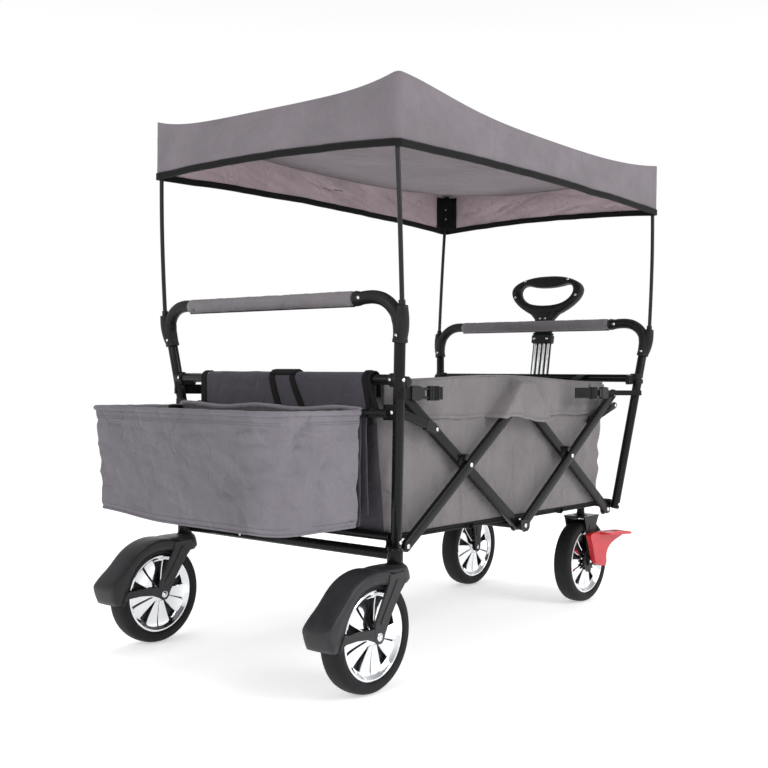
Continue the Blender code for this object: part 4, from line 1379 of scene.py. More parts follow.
def tent(x, z):
    """How far the skirt stands out over the top joint of the links, 0 to 1."""
    drop = max(TUB_TOP - z, 0.0)
    inner = 0.0105 + drop * 0.95
    outer = inner + 0.0045 + drop * 0.19
    return smoothstep((outer - abs(x)) / (outer - inner))


FLAP_HEM = ((-0.108, 0.4640), (-0.084, 0.4622), (-0.066, 0.4660), (-0.040, 0.4650), (0.000, 0.4590))
FLAP_HEM += ((0.040, 0.4530), (0.070, 0.4515), (0.092, 0.4535), (0.104, 0.4600), (0.114, 0.4640))


def skirt_hem(x):
    """Height of the skirt's lower edge. The flap at its middle hangs in a wave."""
    for (a, low), (b, high) in zip(FLAP_HEM, FLAP_HEM[1:]):
        if a <= x <= b:
            return lerp(low, high, smoothstep((x - a) / (b - a)))
    return 0.4640 + 0.0012 * math.sin(x * 40)


def skirt_point(x, v, side):
    top = tub_rim(x, side * 0.235) - 0.0010
    z = lerp(skirt_hem(x), top, v)
    out = tent(x, z)
    ripple = 0.0018 * crease_lines(
        (x, z * 1.2, side), 9.0, 4.0
    ) + 0.0012 * rough_noise((x, z * 0.8, 0), 26, 5.0) * (1 - v) + 0.0008 * rough_noise((x, z, 0), 60, 8.0)
    hang = 0.0014 * (1 - v) * math.sin(x * 64 + 2.0 * math.sin(x * 23))
    base = 0.2372 + ripple + hang * (1 - out)
    # The flap is stretched over the links, which press two ridges into it.
    ridge = 0.0
    for way in (-1, 1):
        middle = way * (TUB_TOP - z - 0.0200) / 0.6875
        ridge += math.exp(-(((x - middle) / 0.013) ** 2)) if z < 0.5250 else 0.0
    tented = 0.2716 + 0.0014 * min(ridge, 1.0) + 0.0012 * rough_noise((x, z, 1), 30, 1.0)
    rise = smoothstep((top - z) / 0.012)
    return Vector((x, side * lerp(base, tented, out * rise), z))


def tub_side_trim(side_name, side):
    shape = bmesh.new()
    x0, x1 = -0.4240, 0.3780
    sheet_grid(shape, 330, 34, lambda u, v: skirt_point(lerp(x0, x1, u), v, side))
    area = sum(face.calc_area() for face in shape.faces)
    skirt = finish_piece(f"tub_skirt_{side_name}", shape, CLOTH, "rear_frame", angle=80)
    thicken(skirt, 0.0016, 0.0)
    tub_fold(skirt)

    shape = bmesh.new()
    hem = [skirt_point(lerp(x0, x1, i / 300), 0.0, side) for i in range(301)]
    add_strap(shape, [p + Vector((0, side * 0.0004, 0.0028)) for p in hem], 0.0075, 0.0026, (0, 0, 1))
    row = [p + Vector((0, side * 0.0018, 0.0052)) for p in hem]
    add_stitches(shape, row, (0, side, 0), slot=1)
    hem_piece = finish_piece(
        f"tub_skirt_hem_{side_name}", shape, [CLOTH, THREAD], "rear_frame", angle=60
    )
    tub_fold(hem_piece)

    shape = bmesh.new()
    for x, v0, v1 in ((0.0, 0.06, 0.52), (-0.2, 0.04, 0.60), (0.2, 0.04, 0.60)):
        t, proud = side_t(x, side), Vector((0, side * 0.0026, 0))
        line = [tub_wall_point(t, lerp(v0, v1, i / 39)) + proud for i in range(40)]
        add_stitches(shape, line, (0, side, 0))
    tub_fold(finish_piece(f"tub_seams_{side_name}", shape, THREAD, "rear_frame"))

    shape = bmesh.new()
    for x, z in ((-0.160, 0.247), (0.200, 0.247)):
        loop = []
        for i in range(17):
            a = math.pi * (i / 16)
            loop.append((x + 0.011 * math.cos(a), side * 0.2355, z + 0.010 * -math.sin(a) + 0.004))
        add_strap(shape, loop, 0.0085, 0.0016, (0, 1, 0))
    tub_fold(finish_piece(f"tub_ties_{side_name}", shape, WEBBING, "rear_frame"))


def side_t(x, side):
    """Where along the tub's outline a place on a long side is."""
    best, found = 9.0, 0.0
    for i in range(400):
        flat, out = tub_outline(i / 400, -0.43, 0.397, 0.233, 0.030)
        if out.y * side > 0.9 and abs(flat.x - x) < best:
            best, found = abs(flat.x - x), i / 400
    return found


def corner_flaps(end_name, end):
    """A patch of the same cloth over each upper corner of the tub."""
    for side_name, side in SIDES:
        shape = bmesh.new()
        length = 0.070
        x_edge = -0.446 if end < 0 else 0.402

        def place(u, v):
            x = x_edge - end * (0.004 + u * length)
            z = tub_rim(x, side * 0.235) - 0.003 - v * 0.052 * (1 - 0.35 * u)
            return Vector((x, side * (0.2394 + 0.0006 * math.sin(9 * u)), z))

        sheet_grid(shape, 20, 14, place)
        patch = finish_piece(
            f"tub_corner_patch_{end_name}_{side_name}", shape, CLOTH, "rear_frame"
        )
        thicken(patch, 0.0012, 0.0)
        tub_fold(patch)


def rear_apron():
    """The tub's rear edge wraps over the crossbar as a sleeve, held by webbing loops."""
    bar = Vector((-on_post(0.537).x, 0, 0.537))
    profile = [(-0.4500, 0.4600), (-0.4520, 0.5100), (-0.4534, 0.5300)]
    for i in range(15):
        a = math.radians(-8 + 196 * i / 14)
        profile.append((bar.x + 0.0128 * math.cos(a), bar.z + 0.0128 * math.sin(a)))
    profile += [(-0.4786, 0.5240), (-0.4780, 0.4900), (-0.4760, 0.4300), (-0.4740, 0.3600), (-0.4700, 0.2950)]
    path = [Vector((x, 0, z)) for x, z in profile]
    path = smooth_path(path, 3)
    shape = bmesh.new()
    rows, columns = len(path) - 1, 110

    def place(u, v):
        point = path[round(v * rows)].copy()
        y = lerp(-0.2300, 0.1900, u)
        low = smoothstep((0.515 - point.z) / 0.08)
        wave = 0.0024 * rough_noise(
            (0, y, point.z * 0.6), 17, 3.0
        ) + 0.0011 * rough_noise((0, y, point.z), 50, 6.0)
        point.x += wave * (0.25 + low)
        point.z += 0.0008 * rough_noise((1, y, 0), 24) * (1 - low)
        point.y = y
        return point

    sheet_grid(shape, columns, rows, place)
    area = sum(face.calc_area() for face in shape.faces)
    apron = finish_piece("tub_rear_apron", shape, [DARK_CLOTH], "rear_frame", angle=80)
    thicken(apron, 0.0018, 0.0)

    shape = bmesh.new()

    def strap(y_top, y_low, z_low, width, lift=0.0147):
        line = []
        for i in range(13):
            a = math.radians(-10 + 190 * i / 12)
            line.append(Vector((bar.x + lift * math.cos(a), y_top, bar.z + lift * math.sin(a))))
        line = [Vector((-0.4500, y_top, 0.5050))] + line
        for k in range(1, 5):
            line.append(Vector((-0.4812, lerp(y_top, y_low, k / 4), lerp(0.5340, z_low, k / 4))))
        add_strap(shape, line, width, 0.0020, (0, 1, 0))

    strap(0.0050, -0.0230, 0.4600, 0.0140)
    strap(-0.0480, -0.0880, 0.4600, 0.0130)
    for a in (1.2, 1.75, 2.3):
        arch = [
            (bar.x + 0.0166 * math.cos(a), y, bar.z + 0.0166 * math.sin(a))
            for y in (0.010, -0.010, -0.032, -0.053)
        ]
        add_strap(shape, arch, 0.0110, 0.0030, (-math.sin(a), 0, math.cos(a)))
    strap(0.1975, 0.1940, 0.4200, 0.0140, 0.0146)
    strap(-0.2340, -0.2600, 0.4740, 0.0110, 0.0150)
    strap(-0.2260, -0.2440, 0.4560, 0.0100, 0.0162)
    finish_piece("tub_rear_webbing", shape, WEBBING, "rear_frame", bevel=0.0003)

    shape = bmesh.new()
    for y in (-0.150, 0.150):
        line = [
            (0.4080, y, 0.5400), (0.4300, y * 1.02, 0.5500), (0.4560, y * 1.02, 0.5560), (0.4780, y, 0.5500)
        ]
        add_strap(shape, smooth_path(line, 4), 0.0200, 0.0018, (0, 1, 0))
    finish_piece("tub_front_webbing", shape, WEBBING, "front_frame", bevel=0.0003)


# ---------------------------------------------------------------- basket
ROD_Z = 0.4785


def basket_outline(t, v):
    """(point, outward) round the basket. The near rear corner is slack, and the others are drawn tight."""
    x0, x1, half = lerp(-0.7010, -0.7215, smoothstep(v * 1.05)), -0.4990, lerp(0.2360, 0.2395, v)
    slack, tight = 0.0520 + 0.0220 * math.sin(math.pi * v) - 0.0100 * v, 0.0120
    corners = ((x1 - tight, -half + tight, tight, -90), (x1 - tight, half - tight, tight, 0))
    corners += ((x0 + tight, half - tight, tight, 90), (x0 + slack, -half + slack, slack, 180))
    runs = []
    last = corners[-1]
    for this in corners:
        a = math.radians(this[3])
        out = Vector((math.cos(a), math.sin(a)))
        start = Vector(last[:2]) + out * last[2]
        stop = Vector(this[:2]) + out * this[2]
        runs.append(("line", (stop - start).length, start, (stop - start).normalized(), out))
        runs.append(("arc", math.pi / 2 * this[2], Vector(this[:2]), this[2], this[3]))
        last = this
    d = (t % 1.0) * sum(run[1] for run in runs)
    for kind, span, *rest in runs:
        if d > span:
            d -= span
            continue
        if kind == "line":
            return rest[0] + rest[1] * d, rest[2]
        a = math.radians(rest[2]) + d / rest[1]
        out = Vector((math.cos(a), math.sin(a)))
        return rest[0] + out * rest[1], out
    return runs[0][2].copy(), runs[0][4]


def basket_point(t, v):
    """The basket's cloth wall, v from the bottom at 0 to the rim at 1."""
    flat, out = basket_outline(t, v)
    point = Vector((flat.x, flat.y, lerp(0.2800, ROD_Z, v)))
    slack = math.sin(math.pi * min(0.05 + v * 0.9, 1.0)) ** 0.6
    near = math.exp(-(((point.x + 0.670) / 0.060) ** 2)) * smoothstep((-point.y - 0.10) / 0.10)
    near = max(near, 0.08 * smoothstep((abs(point.y) - 0.2) / 0.03))
    broad = rough_noise((point.x, point.y, point.z * 0.9), 8.5, 3.0)
    slanted = rough_noise((point.x * 2.4 + point.z * 1.5, point.y * 2.4, point.z * 3.4 - point.y), 9.5, 5.0)
    pleat = rough_noise((point.x * 3.0, point.y * 3.0, point.z * 1.1), 13, 8.0)
    fine = rough_noise((point.x, point.y, point.z * 1.4), 44, 2.0)
    level = rough_noise((point.x * 0.6, point.y * 0.6, point.z * 4.0), 11, 6.0)
    push = slack * (0.0046 * broad + 0.0026 * slanted + 0.0012 * fine + 0.0007 * level)
    push += slack * near * (0.0110 * pleat + 0.0080 * slanted)
    lines = crease_lines((point.x + point.z * 0.8, point.y, point.z * 1.6), 8.0, 5.0)
    upper = crease_lines(
        (point.x * 0.8, point.y * 0.8 + point.z, point.z * 3.0), 13.0, 2.0
    ) * smoothstep((v - 0.55) / 0.3)
    push += slack * (0.0018 + 0.0056 * near) * lines - slack * (0.0010 + 0.0062 * near) * upper
    push -= 0.0040 * math.sin(math.pi * v) ** 1.2 * (1 - near)
    crease = math.exp(-(((v - 0.84 - 0.04 * math.sin(point.y * 14 + point.x * 20)) / 0.028) ** 2))
    push -= 0.0034 * crease * (0.5 + near)
    push = min(push, 0.0100)
    point.x += out.x * push
    point.y += out.y * push
    if v < 0.10:
        tuck = (0.10 - v) / 0.10
        point.x -= out.x * 0.0060 * tuck**2
        point.y -= out.y * 0.0060 * tuck**2
    far_end = smoothstep((point.y - 0.05) / 0.19)
    if point.x < -0.68:
        point.x += far_end * lerp(-0.0045, 0.0062, v)
    point.z += (0.0130 * far_end * smoothstep((-0.62 - point.x) / 0.08) - 0.0030) * (1 - smoothstep(v / 0.5))
    if out.x > 0.5 and v > 0.85:
        hump = 0.0050 + 0.0026 * math.sin(point.y * 31 + 1.0)
        point.z += hump * smoothstep((v - 0.85) / 0.15)
    return point


def basket():
    body = "basket"
    shape = bmesh.new()
    columns, rows = 330, 58
    sheet_grid(shape, columns, rows, basket_point, loop=True)
    area = sum(face.calc_area() for face in shape.faces)
    walls = finish_piece(
        "basket_walls", shape, [BASKET_CLOTH_PAINTED_LIGHT, LINING], body, ["basket"], angle=80
    )
    thicken(walls, 0.0026, 1.0 if walls.data.polygons[0].normal.y > 0 else -1.0, 1)

    shape = bmesh.new()
    ring = [basket_point(i / 160, 0.012) for i in range(160)]
    centre = Vector((-0.604, 0, 0.2800))
    loops = []
    for k in range(9):
        f = 1 - k / 9
        loops.append(
            [
                shape.verts.new(Vector((lerp(centre.x, p.x, f), lerp(0, p.y, f), p.z - 0.0030 * (1 - f * f))))
                for p in ring
            ],
        )
    for a, b in zip(loops, loops[1:]):
        for i in range(160):
            j = (i + 1) % 160
            shape.faces.new((a[i], a[j], b[j], b[i]))
    shape.faces.new(loops[-1])
    floor = finish_piece("basket_floor", shape, [BASKET_CLOTH_PAINTED_LIGHT], body, angle=60)
    thicken(floor, 0.0030, 0.0)

    shape = bmesh.new()
    path = [basket_point(i / 260, 0.008) + Vector((0, 0, -0.0006)) for i in range(261)]
    add_pipe(shape, path, 0.0024, 10, 0.0)
    finish_piece("basket_piping", shape, BASKET_CLOTH_PAINTED_LIGHT, body, angle=60)

    shape = bmesh.new()
    for v in (0.058, 0.905, 0.925):
        for first, last in ((0.02, 0.30), (0.52, 0.98)):
            steps = 170
            line = []
            for i in range(steps + 1):
                t = lerp(first, last, i / steps)
                p, q = basket_point(t, v), basket_point(t + 0.002, v)
                out = (q - p).cross(Vector((0, 0, 1))).normalized()
                line.append((p + out * 0.0006, out))
            for (p, out), (q, _) in zip(line, line[1:]):
                add_stitches(shape, [p, q], out, pitch=(q - p).length * 1.01, length=(q - p).length * 0.66)
    finish_piece("basket_stitching", shape, THREAD, body)

    # The rim is turned over the frame's rod.
    shape = bmesh.new()
    path = [basket_point(i / 330, 1.0) for i in range(331)]
    add_pipe(shape, path, [0.0048 + 0.0008 * rough_noise(p, 55) for p in path], 12, 0.0)
    for side in (-1, 1):
        hem = [
            Vector((lerp(-0.530, -0.4830, i / 12), side * (0.2385 + 0.001 * math.sin(i)), ROD_Z))
            for i in range(13)
        ]
        add_pipe(shape, hem, [0.0052 + 0.0010 * rough_noise(p, 70, side) for p in hem], 12, 0.0010)
        flap = [
            Vector((x, side * 0.2400, z))
            for x, z in ((-0.5010, 0.4740), (-0.4900, 0.4760), (-0.4850, 0.4790))
        ]
        add_strap(shape, flap, 0.0050, 0.0020, (0, 0, 1))
    finish_piece("basket_rim_fold", shape, BASKET_CLOTH_PAINTED_LIGHT, body, angle=60)

    shape = bmesh.new()
    post_at = on_post(ROD_Z)
    for side in (-1, 1):
        route = [
            (-0.4815, 0.2780, ROD_Z), (-0.4900, 0.2600, ROD_Z), (-0.5050, 0.2360, ROD_Z),
            (-0.5400, 0.2360, ROD_Z),
        ]
        add_pipe(shape, smooth_path([corner(p, 1, side) for p in route], 5), 0.0040, 16, 0.0008)
        face_x = -post_at.x - 0.0120
        flat_bar = [
            (-0.5080, 0.2440), (-0.4960, 0.2445), (-0.4860, 0.2470), (face_x - 0.001, post_at.y - 0.0160)
        ]
        line = [Vector((x, side * y, ROD_Z - 0.0010)) for x, y in flat_bar]
        add_strap(shape, smooth_path(line, 4), 0.0150, 0.0028, (0, 0, 1))
        tab = [(face_x - 0.0016, face_x + 0.0016), (post_at.y - 0.0240, post_at.y + 0.0060)]
        low, high = sorted((side * tab[1][0], side * tab[1][1]))
        add_box(shape, (tab[0][0], low, ROD_Z - 0.0130), (tab[0][1], high, ROD_Z + 0.0150))
        spot = Vector((face_x - 0.0016, side * (post_at.y - 0.0055), ROD_Z + 0.0010))
        add_head(shape, spot, (-1, 0, 0), 0.0038, 0.0022, slot=1)
    finish_piece(
        "basket_rod_and_hooks", shape, [PAINT, RIVET], body, ["basket_frame"], bevel=0.0005
    )

    # A dark sheet between the basket and the tub, in the darker cloth.
    shape = bmesh.new()

    def panel(u, v):
        y = lerp(-0.2270, 0.2270, u)
        z = lerp(0.2760, 0.4700, v)
        return Vector(
            (-0.4900 + 0.0030 * rough_noise((0, y, z), 14) + 0.0016 * rough_noise((0, y, z), 45), y, z)
        )

    sheet_grid(shape, 70, 30, panel)
    back = finish_piece("basket_back_dark_panel", shape, DARK_CLOTH, body, angle=60)
    thicken(back, 0.0020, 0.0)


# ---------------------------------------------------------------- canopy
CANOPY_HALF = Vector((0.515, 0.321))


def canopy_fold(piece):
    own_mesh(piece)
    return piece


def roof_height(u, v):
    held = (abs(u) * abs(v)) ** 2.8
    belly = 0.012 * (1 - max(abs(u), abs(v)) ** 2)
    if u < 0:
        held = lerp(held, abs(v) ** 4.5, u**4)
    droop = lerp(0.031, 0.0225, u**4 if u < 0 else 0.0) * (1 - held) + belly
    # Tension lines run from each corner, and the cloth is a little loose between them.
    angle = math.atan2(1.001 - abs(v), 1.001 - abs(u))
    reach = math.hypot(1 - abs(u), 1 - abs(v))
    lines = 0.0022 * math.sin(angle * 15) * math.exp(-(((reach - 0.30) / 0.22) ** 2))
    loose = 0.0020 * crease_lines(
        (u * 1.6, v, 0), 2.6, 4.0
    ) + 0.0030 * rough_noise((u * 1.6, v, 0), 3.1, 1.0) + 0.0012 * rough_noise((u * 1.6, v, 0), 11, 2.0)
    inside = 1 - max(abs(u), abs(v)) ** 6
    return 1.0665 - droop + (lines + loose) * inside


def canopy_outline(t):
    return tub_outline(t, -CANOPY_HALF.x + 0.0005, CANOPY_HALF.x - 0.0005, CANOPY_HALF.y - 0.0005, 0.012)


def hem_height(x, y):
    u, v = x / CANOPY_HALF.x, y / CANOPY_HALF.y
    near_corner = (1 - u) / 2 * (1 - v) / 2
    ripple = 0.0016 * rough_noise((x, y, 0), 8.0, 5.0) + 0.0008 * rough_noise((x, y, 0), 23, 5.0)
    return 0.9465 + 0.0105 * (1 - (abs(u) * abs(v)) ** 2) - 0.0085 * near_corner + ripple


def valance_point(t, v):
    """The canopy's hanging edge, v from the roof at 0 to the hem at 1."""
    flat, out = canopy_outline(t)
    u, w = flat.x / CANOPY_HALF.x, flat.y / CANOPY_HALF.y
    top = roof_height(min(max(u, -1), 1), min(max(w, -1), 1)) - 0.0010
    z = lerp(top, hem_height(flat.x, flat.y), v)
    away = 1 - (abs(u) * abs(w)) ** 4
    wave = 0.0055 * rough_noise(
        (flat.x, flat.y, z * 0.4), 7.0, 2.0
    ) + 0.0020 * rough_noise((flat.x, flat.y, z), 24, 4.0)
    slanted = 0.0032 * rough_noise((flat.x * 2 + z * 3, flat.y * 2 + z * 3, z * 2), 9, 6.0)
    slanted += 0.0022 * crease_lines(
        (flat.x + z, flat.y + z, z * 2.4), 6.0, 1.0
    ) * (1 - smoothstep((v - 0.65) / 0.2))
    push = (wave + slanted) * away * math.sin(math.pi * (0.12 + 0.75 * v)) - 0.0040 * away * v - 0.0012
    return Vector((flat.x + out.x * push, flat.y + out.y * push, z))


def canopy():
    body = "canopy"
    shape = bmesh.new()
    columns = 420
    rings = []
    inner_steps = [0.0, 0.02, 0.045, 0.08, 0.125, 0.18, 0.25, 0.33, 0.42, 0.52, 0.62, 0.72, 0.82, 0.91, 0.975]
    for step in reversed(inner_steps):
        ring = []
        for i in range(columns):
            flat, out = canopy_outline(i / columns)
            f = 1 - step
            x, y = flat.x * f, flat.y * f
            if step == 0.0:
                x, y = x - out.x * 0.0018, y - out.y * 0.0018
            u, v = x / CANOPY_HALF.x, y / CANOPY_HALF.y
            ring.append(Vector((x, y, roof_height(u, v))))
        rings.append(ring)
    for k in range(0, 27):
        rings.append([valance_point(i / columns, 0.006 + 0.994 * k / 26) for i in range(columns)])
    loops = skin_rings(shape, rings, closed=True, caps=False)
    shape.faces.new(loops[0])
    area = sum(face.calc_area() for face in shape.faces)
    cover = finish_piece(
        "canopy_cloth", shape, [CANOPY_OUT, CANOPY_IN_PAINTED_GLOW, CANOPY_OUT, VALANCE_IN_PAINTED_LIGHT], body, ["canopy_cover"],
        angle=70,
    )
    upward = max(cover.data.polygons, key=lambda face: face.area).normal.z
    # The inner faces take the next material down the list, so the roof's underside gets the painted glow of
    # light through the cloth.
    thicken(cover, 0.0016, -1.0 if upward > 0 else 1.0, 1)
    # The valance's faces go to index 2, so their inner faces get the painted light of the valance's inside.
    for face in cover.data.polygons:
        if abs(face.normal.z) < 0.5:
            face.material_index = 2
    canopy_fold(cover)

    shape = bmesh.new()
    for inset in (-0.0012, 0.0030):
        path = []
        for i in range(421):
            t = (i % 420) / 420
            middle, low = valance_point(t, 0.955), valance_point(t, 1.0)
            _, out = canopy_outline(t)
            path.append(Vector((middle.x - out.x * inset, middle.y - out.y * inset, low.z + 0.0048)))
        add_strap(shape, path, 0.0128, 0.0022, (0, 0, 1))
    binding = finish_piece("canopy_binding", shape, [WEBBING], body, angle=60)
    canopy_fold(binding)

    shape = bmesh.new()
    line = []
    for i in range(420):
        _, out = canopy_outline(i / 420)
        line.append((valance_point(i / 420, 1.0) + Vector((out.x * 0.0028, out.y * 0.0028, 0.0100)), out))
    for (p, out), (q, _) in zip(line, line[1:]):
        span = (q - p).length
        add_stitches(shape, [p, q], (out.x, out.y, 0), pitch=span * 1.01, length=span * 0.6)
    stitches = finish_piece("canopy_stitches", shape, THREAD, body)
    canopy_fold(stitches)

    # A webbing pocket takes the pole in each corner.
    for end_name, end in ENDS:
        for side_name, side in SIDES:
            shape = bmesh.new()

            def place(u, v):
                a = lerp(-0.037, 0.037, u)
                x = CANOPY_HALF.x - 0.0065 - max(a, 0) - 0.010 * math.exp(-((a / 0.012) ** 2))
                y = CANOPY_HALF.y - 0.0065 + min(a, 0) - 0.010 * math.exp(-((a / 0.012) ** 2))
                return Vector((end * x, side * y, lerp(0.9540, 1.0440, v)))

            sheet_grid(shape, 26, 8, place)
            # The front pockets stay round their poles, and the rear ones are at the fold's fixed end.
            holder = "canopy" if end < 0 else "canopy_front_poles"
            pocket = finish_piece(f"canopy_pocket_{end_name}_{side_name}", shape, WEBBING, holder, angle=70)
            thicken(pocket, 0.0016, 0.0)
            if end < 0:
                canopy_fold(pocket)
            shape = bmesh.new()
            cap = [
                (0.0, 1.0500), (0.0060, 1.0490), (0.0075, 1.0440), (0.0075, 1.0300), (0.0050, 1.0290),
                (0.0, 1.0290),
            ]
            add_lathe(shape, cap, (end * 0.5046, side * 0.3074, 0), (0, 0, 1), 20)
            for spot in (1.010, 0.985):
                add_head(shape, (end * 0.4880, side * 0.2980, spot), (-end, -side, 0), 0.0021, 0.0012, slot=1)
            finish_piece(f"canopy_pole_cap_{end_name}_{side_name}", shape, [PLASTIC, RIVET], holder)

    for end_name, end in ENDS:
        for side_name, side in SIDES:
            foot = corner((0.4856, 0.3135, 0.6620), end, side)
            tip = corner((0.5050, 0.3070, 1.0480), end, side)
            shape = bmesh.new()
            bow = Vector((end * 0.0020, side * 0.0030, 0))
            path = [
                foot, foot.lerp(tip, 0.25) + bow * 0.7, foot.lerp(tip, 0.5) + bow,
                foot.lerp(tip, 0.75) + bow * 0.7, tip,
            ]
            add_pipe(shape, smooth_path(path, 6), 0.0043, 20, 0.0008)
            low = foot.lerp(tip, 0.035)
            add_pipe(shape, [foot + Vector((0, 0, 0.0006)), low], 0.0062, 20, 0.0010, slot=1)
            holder = "canopy" if end < 0 else "canopy_front_poles"
            node = f"{end_name}_canopy_pole_{side_name}"
            finish_piece(f"{node}_rod", shape, [POLE, PLASTIC], holder, [node])


# ---------------------------------------------------------------- buckles
def buckles():
    """Side-release buckles with their webbing, outside the links at the tub's upper corners."""
    for end_name, start, stop, frame_side in (("rear", -0.409, -0.310, -1), ("front", 0.196, 0.346, 1)):
        for side_name, side in SIDES:
            z = 0.5130
            low_y, high_y = 0.2700, 0.2790
            post_x = frame_side * on_post(0.513).x
            socket = stop if frame_side > 0 else start
            inner = start if frame_side > 0 else stop
            way = -frame_side
            body_end = socket + way * 0.0400
            shape = bmesh.new()

            def block(x0, x1, half, y0, y1):
                a, b = sorted((x0, x1))
                c, d = sorted((side * y0, side * y1))
                add_box(shape, (a, c, z - half), (b, d, z + half))

            block(socket, socket + way * 0.0300, 0.0125, low_y, high_y)
            block(socket + way * 0.0290, body_end, 0.0100, low_y + 0.001, high_y - 0.001)
            for up in (-1, 1):
                a, b = sorted((socket + way * 0.0060, socket + way * 0.0240))
                c, d = sorted((side * (low_y + 0.001), side * (high_y - 0.001)))
                add_box(shape, (a, c, z + up * 0.0118 - 0.002), (b, d, z + up * 0.0118 + 0.002))
                block_z = z + up * 0.0080
                add_pipe(
                    shape,
                    [(body_end, side * 0.2745, block_z), (body_end + way * 0.0150, side * 0.2745, block_z)],
                    0.0028, 10, 0.0006,
                )
            block(body_end + way * 0.0140, body_end + way * 0.0300, 0.0135, low_y + 0.001, high_y)
            for rib in (0.0165, 0.0215, 0.0265, 0.0330, 0.0400):
                block(
                    body_end + way * rib, body_end + way * (rib + 0.0022), 0.0136, low_y + 0.001,
                    high_y + 0.0010,
                )
            node = f"{end_name}_buckle_{side_name}"
            finish_piece(
                f"{node}_clip", shape, BUCKLE, f"{end_name}_frame", [node], bevel=0.0012
            )

            shape = bmesh.new()
            tail_start = body_end + way * 0.0200
            tail_stop = inner if abs(inner - tail_start) > 0.01 else tail_start + way * 0.030
            line = [
                (tail_start, side * 0.2755, z), (lerp(tail_start, tail_stop, 0.5), side * 0.2775, z),
                (tail_stop, side * 0.2745, z),
            ]
            add_strap(shape, smooth_path(line, 4), 0.0235, 0.0018, (0, 0, 1))
            line = [
                (socket + way * 0.004, side * 0.2745, z), (lerp(socket, post_x, 0.45), side * 0.2790, z),
                (post_x, side * (on_post(z).y + 0.0118), z),
            ]
            if abs(post_x - socket) > 0.03:
                line += [(post_x + frame_side * 0.0118, side * on_post(z).y, z)]
            add_strap(shape, smooth_path(line, 5), 0.0200 if frame_side < 0 else 0.0120, 0.0022, (0, 0, 1))
            for shift in (-0.0085, 0.0085):
                row = [(tail_start, side * 0.2772, z + shift), (tail_stop, side * 0.2760, z + shift)]
                add_stitches(shape, row, (0, side, 0), slot=1)
            finish_piece(f"{node}_webbing", shape, [WEBBING, THREAD], f"{end_name}_frame", bevel=0.0003)


# ---------------------------------------------------------------- pull handle
HANDLE_PIVOT = Vector((0.450, 0.0, 0.266))
HANDLE_LEAN = Matrix.Rotation(math.atan(0.170), 4, "Y")
COLLAR_AT = 0.3985
GRIP_DROP = 0.0150


def on_handle(x, y, w):
    """A point in the handle's own frame: x ahead, y to the side, w along its tubes from the pivot."""
    return HANDLE_PIVOT + HANDLE_LEAN @ Vector((x, y, w))


def add_stack(shape, levels, slot=0, power=4.0):
    """Lofts (w, half x, half y) levels square to the handle."""
    rings = [[on_handle(x, y, w) for x, y in superellipse(hx, hy, power)] for w, hx, hy in levels]
    skin_rings(shape, rings, slot=slot)


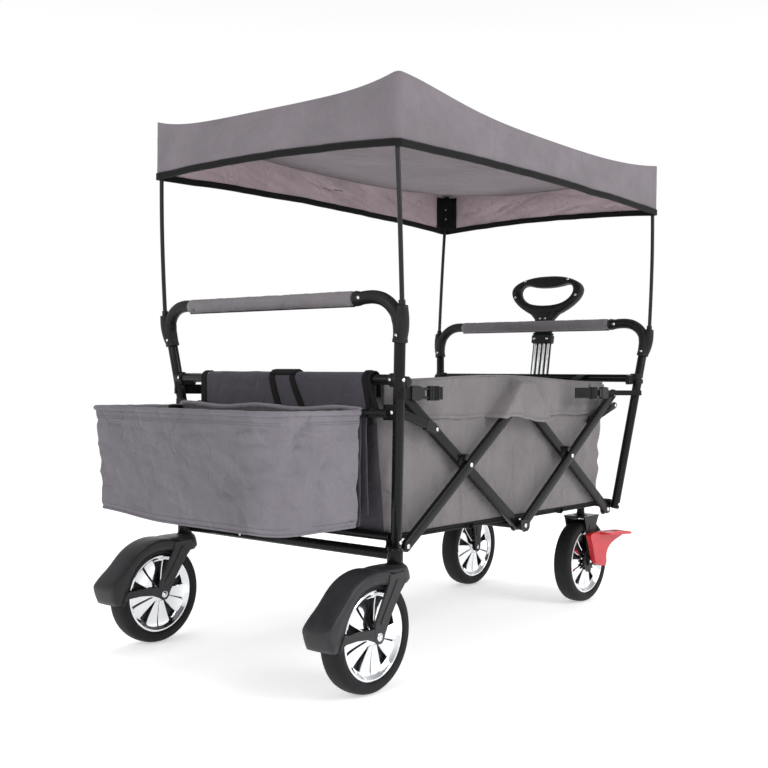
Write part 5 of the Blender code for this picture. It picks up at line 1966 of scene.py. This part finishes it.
def pull_handle():
    shape = bmesh.new()
    for side in (-1, 1):
        for y in (side * 0.0064, side * 0.0192):
            add_pipe(
                shape, [on_handle(0, y, 0.018), on_handle(0, y, 0.20), on_handle(0, y, COLLAR_AT - 0.004)],
                0.0046, 22, 0.0,
            )
        for y in (side * 0.0128, side * 0.0248):
            add_pipe(
                shape, [on_handle(0, y, 0.020), on_handle(0, y, COLLAR_AT - 0.005)], 0.0022, 10, 0.0, slot=1
            )
    add_pipe(shape, [on_handle(0, 0, 0.020), on_handle(0, 0, COLLAR_AT - 0.005)], 0.0024, 10, 0.0, slot=1)
    add_stack(
        shape,
        [
            (-0.010, 0.0080, 0.0260), (-0.008, 0.0100, 0.0285), (0.026, 0.0105, 0.0290),
            (0.030, 0.0090, 0.0270),
        ],
        slot=1,
    )
    add_stack(
        shape,
        [
            (COLLAR_AT - 0.022, 0.0105, 0.0275), (COLLAR_AT - 0.020, 0.0128, 0.0300),
            (COLLAR_AT - 0.002, 0.0130, 0.0304), (COLLAR_AT, 0.0115, 0.0285),
        ],
        slot=1,
    )
    for side in (-1, 1):
        for face in (-1, 1):
            spot = on_handle(face * 0.0126, side * 0.019, COLLAR_AT - 0.011)
            add_head(shape, spot, HANDLE_LEAN @ Vector((face, 0, 0)), 0.0036, 0.0018, slot=2)
    finish_piece(
        "pull_handle_outer_tubes", shape, [CHROME_TUBE, PLASTIC, RIVET], "pull_handle", ["pull_handle_tubes"],
        bevel=0.0005,
    )

    shape = bmesh.new()
    for side in (-1, 1):
        for y in (side * 0.0064, side * 0.0192):
            add_pipe(shape, [on_handle(0, y, 0.040), on_handle(0, y, COLLAR_AT + 0.010)], 0.0036, 18, 0.0)
    finish_piece(
        "pull_handle_inner_tubes", shape, [CHROME_TUBE], "pull_grip", ["pull_handle_rods"]
    )

    outer = [
        (0.0, 0.5715), (0.0300, 0.5705), (0.0577, 0.5660), (0.0820, 0.5575), (0.0990, 0.5460),
        (0.1055, 0.5310),
    ]
    outer += [(0.0990, 0.5120), (0.0820, 0.4940), (0.0600, 0.4790), (0.0380, 0.4690), (0.0, 0.4650)]
    inner = [
        (0.0, 0.5405), (0.0200, 0.5412), (0.0400, 0.5440), (0.0580, 0.5480), (0.0720, 0.5450),
        (0.0785, 0.5330),
    ]
    inner += [(0.0750, 0.5195), (0.0630, 0.5070), (0.0450, 0.4985), (0.0220, 0.4942), (0.0, 0.4932)]

    def closed_loop(half):
        points = [Vector((y, w - GRIP_DROP, 0)) for y, w in half]
        points += [Vector((-y, w - GRIP_DROP, 0)) for y, w in reversed(half[1:-1])]
        count = len(points)
        out = []
        for i in range(count):
            a, b, c, d = (points[(i + k) % count] for k in (-1, 0, 1, 2))
            out += [spline_point(a, b, c, d, step / 5) for step in range(5)]
        return out

    shape = bmesh.new()
    rings = []
    for o, i in zip(closed_loop(outer), closed_loop(inner)):
        ring = []
        middle, reach = (o + i) / 2, (o - i) / 2
        for c, s in superellipse(1.0, 1.0, 2.9, 20):
            p = middle + reach * c
            ring.append(on_handle(s * 0.0128, p.x, p.y))
        rings.append(ring)
    rings.append(rings[0])
    skin_rings(shape, rings, caps=False)
    add_stack(
        shape,
        [
            (0.4040, 0.0105, 0.0215), (0.4060, 0.0122, 0.0238), (0.4280, 0.0124, 0.0240),
            (0.4410, 0.0127, 0.0280), (0.4530, 0.0128, 0.0400), (0.4650, 0.0124, 0.0560),
            (0.4710, 0.0110, 0.0500),
        ],
        power=3.4,
    )
    add_stack(
        shape,
        [
            (COLLAR_AT + 0.0006, 0.0100, 0.0262), (COLLAR_AT + 0.002, 0.0118, 0.0280),
            (0.4035, 0.0118, 0.0280), (0.4045, 0.0105, 0.0262),
        ],
    )
    for face in (-1, 1):
        pad = [(0.0560 * c, 0.5555 - GRIP_DROP + 0.0100 * s) for c, s in superellipse(1.0, 1.0, 2.4, 40)]
        rings = [[on_handle(face * d, y, w) for y, w in pad] for d in (0.0110, 0.0134)]
        skin_rings(shape, rings, slot=2)
        for y, w in (
            (0.0640, 0.5590), (-0.0640, 0.5590), (0.0900, 0.5160), (-0.0900, 0.5160), (0.0075, 0.4560),
            (-0.0075, 0.4560),
        ):
            spot = on_handle(face * 0.0120, y, w - GRIP_DROP)
            add_head(shape, spot, HANDLE_LEAN @ Vector((face, 0, 0)), 0.0033, 0.0018, slot=1)
    finish_piece(
        "pull_handle_loop", shape, [PLASTIC, RIVET, BUCKLE], "pull_grip", ["pull_handle_grip"],
        bevel=0.0004, angle=40,
    )

    bracket = bpy.data.objects["pull_handle_bracket"]
    for slot in bracket.material_slots:
        slot.material = PAINT
    shape = bmesh.new()
    for side in (-1, 1):
        add_head(shape, HANDLE_PIVOT + Vector((0, side * 0.0380, 0)), (0, side, 0), 0.0058, 0.0028)
    finish_piece("pull_handle_pivot_bolts", shape, RIVET, "pull_handle")

end_frames()
sleeves()
wheels()
for side_name, side in SIDES:
    caster(side_name, side)
    front_fork(side_name, side)
    pedal(side_name, side)
links()
tub()
basket()
canopy()
buckles()
pull_handle()
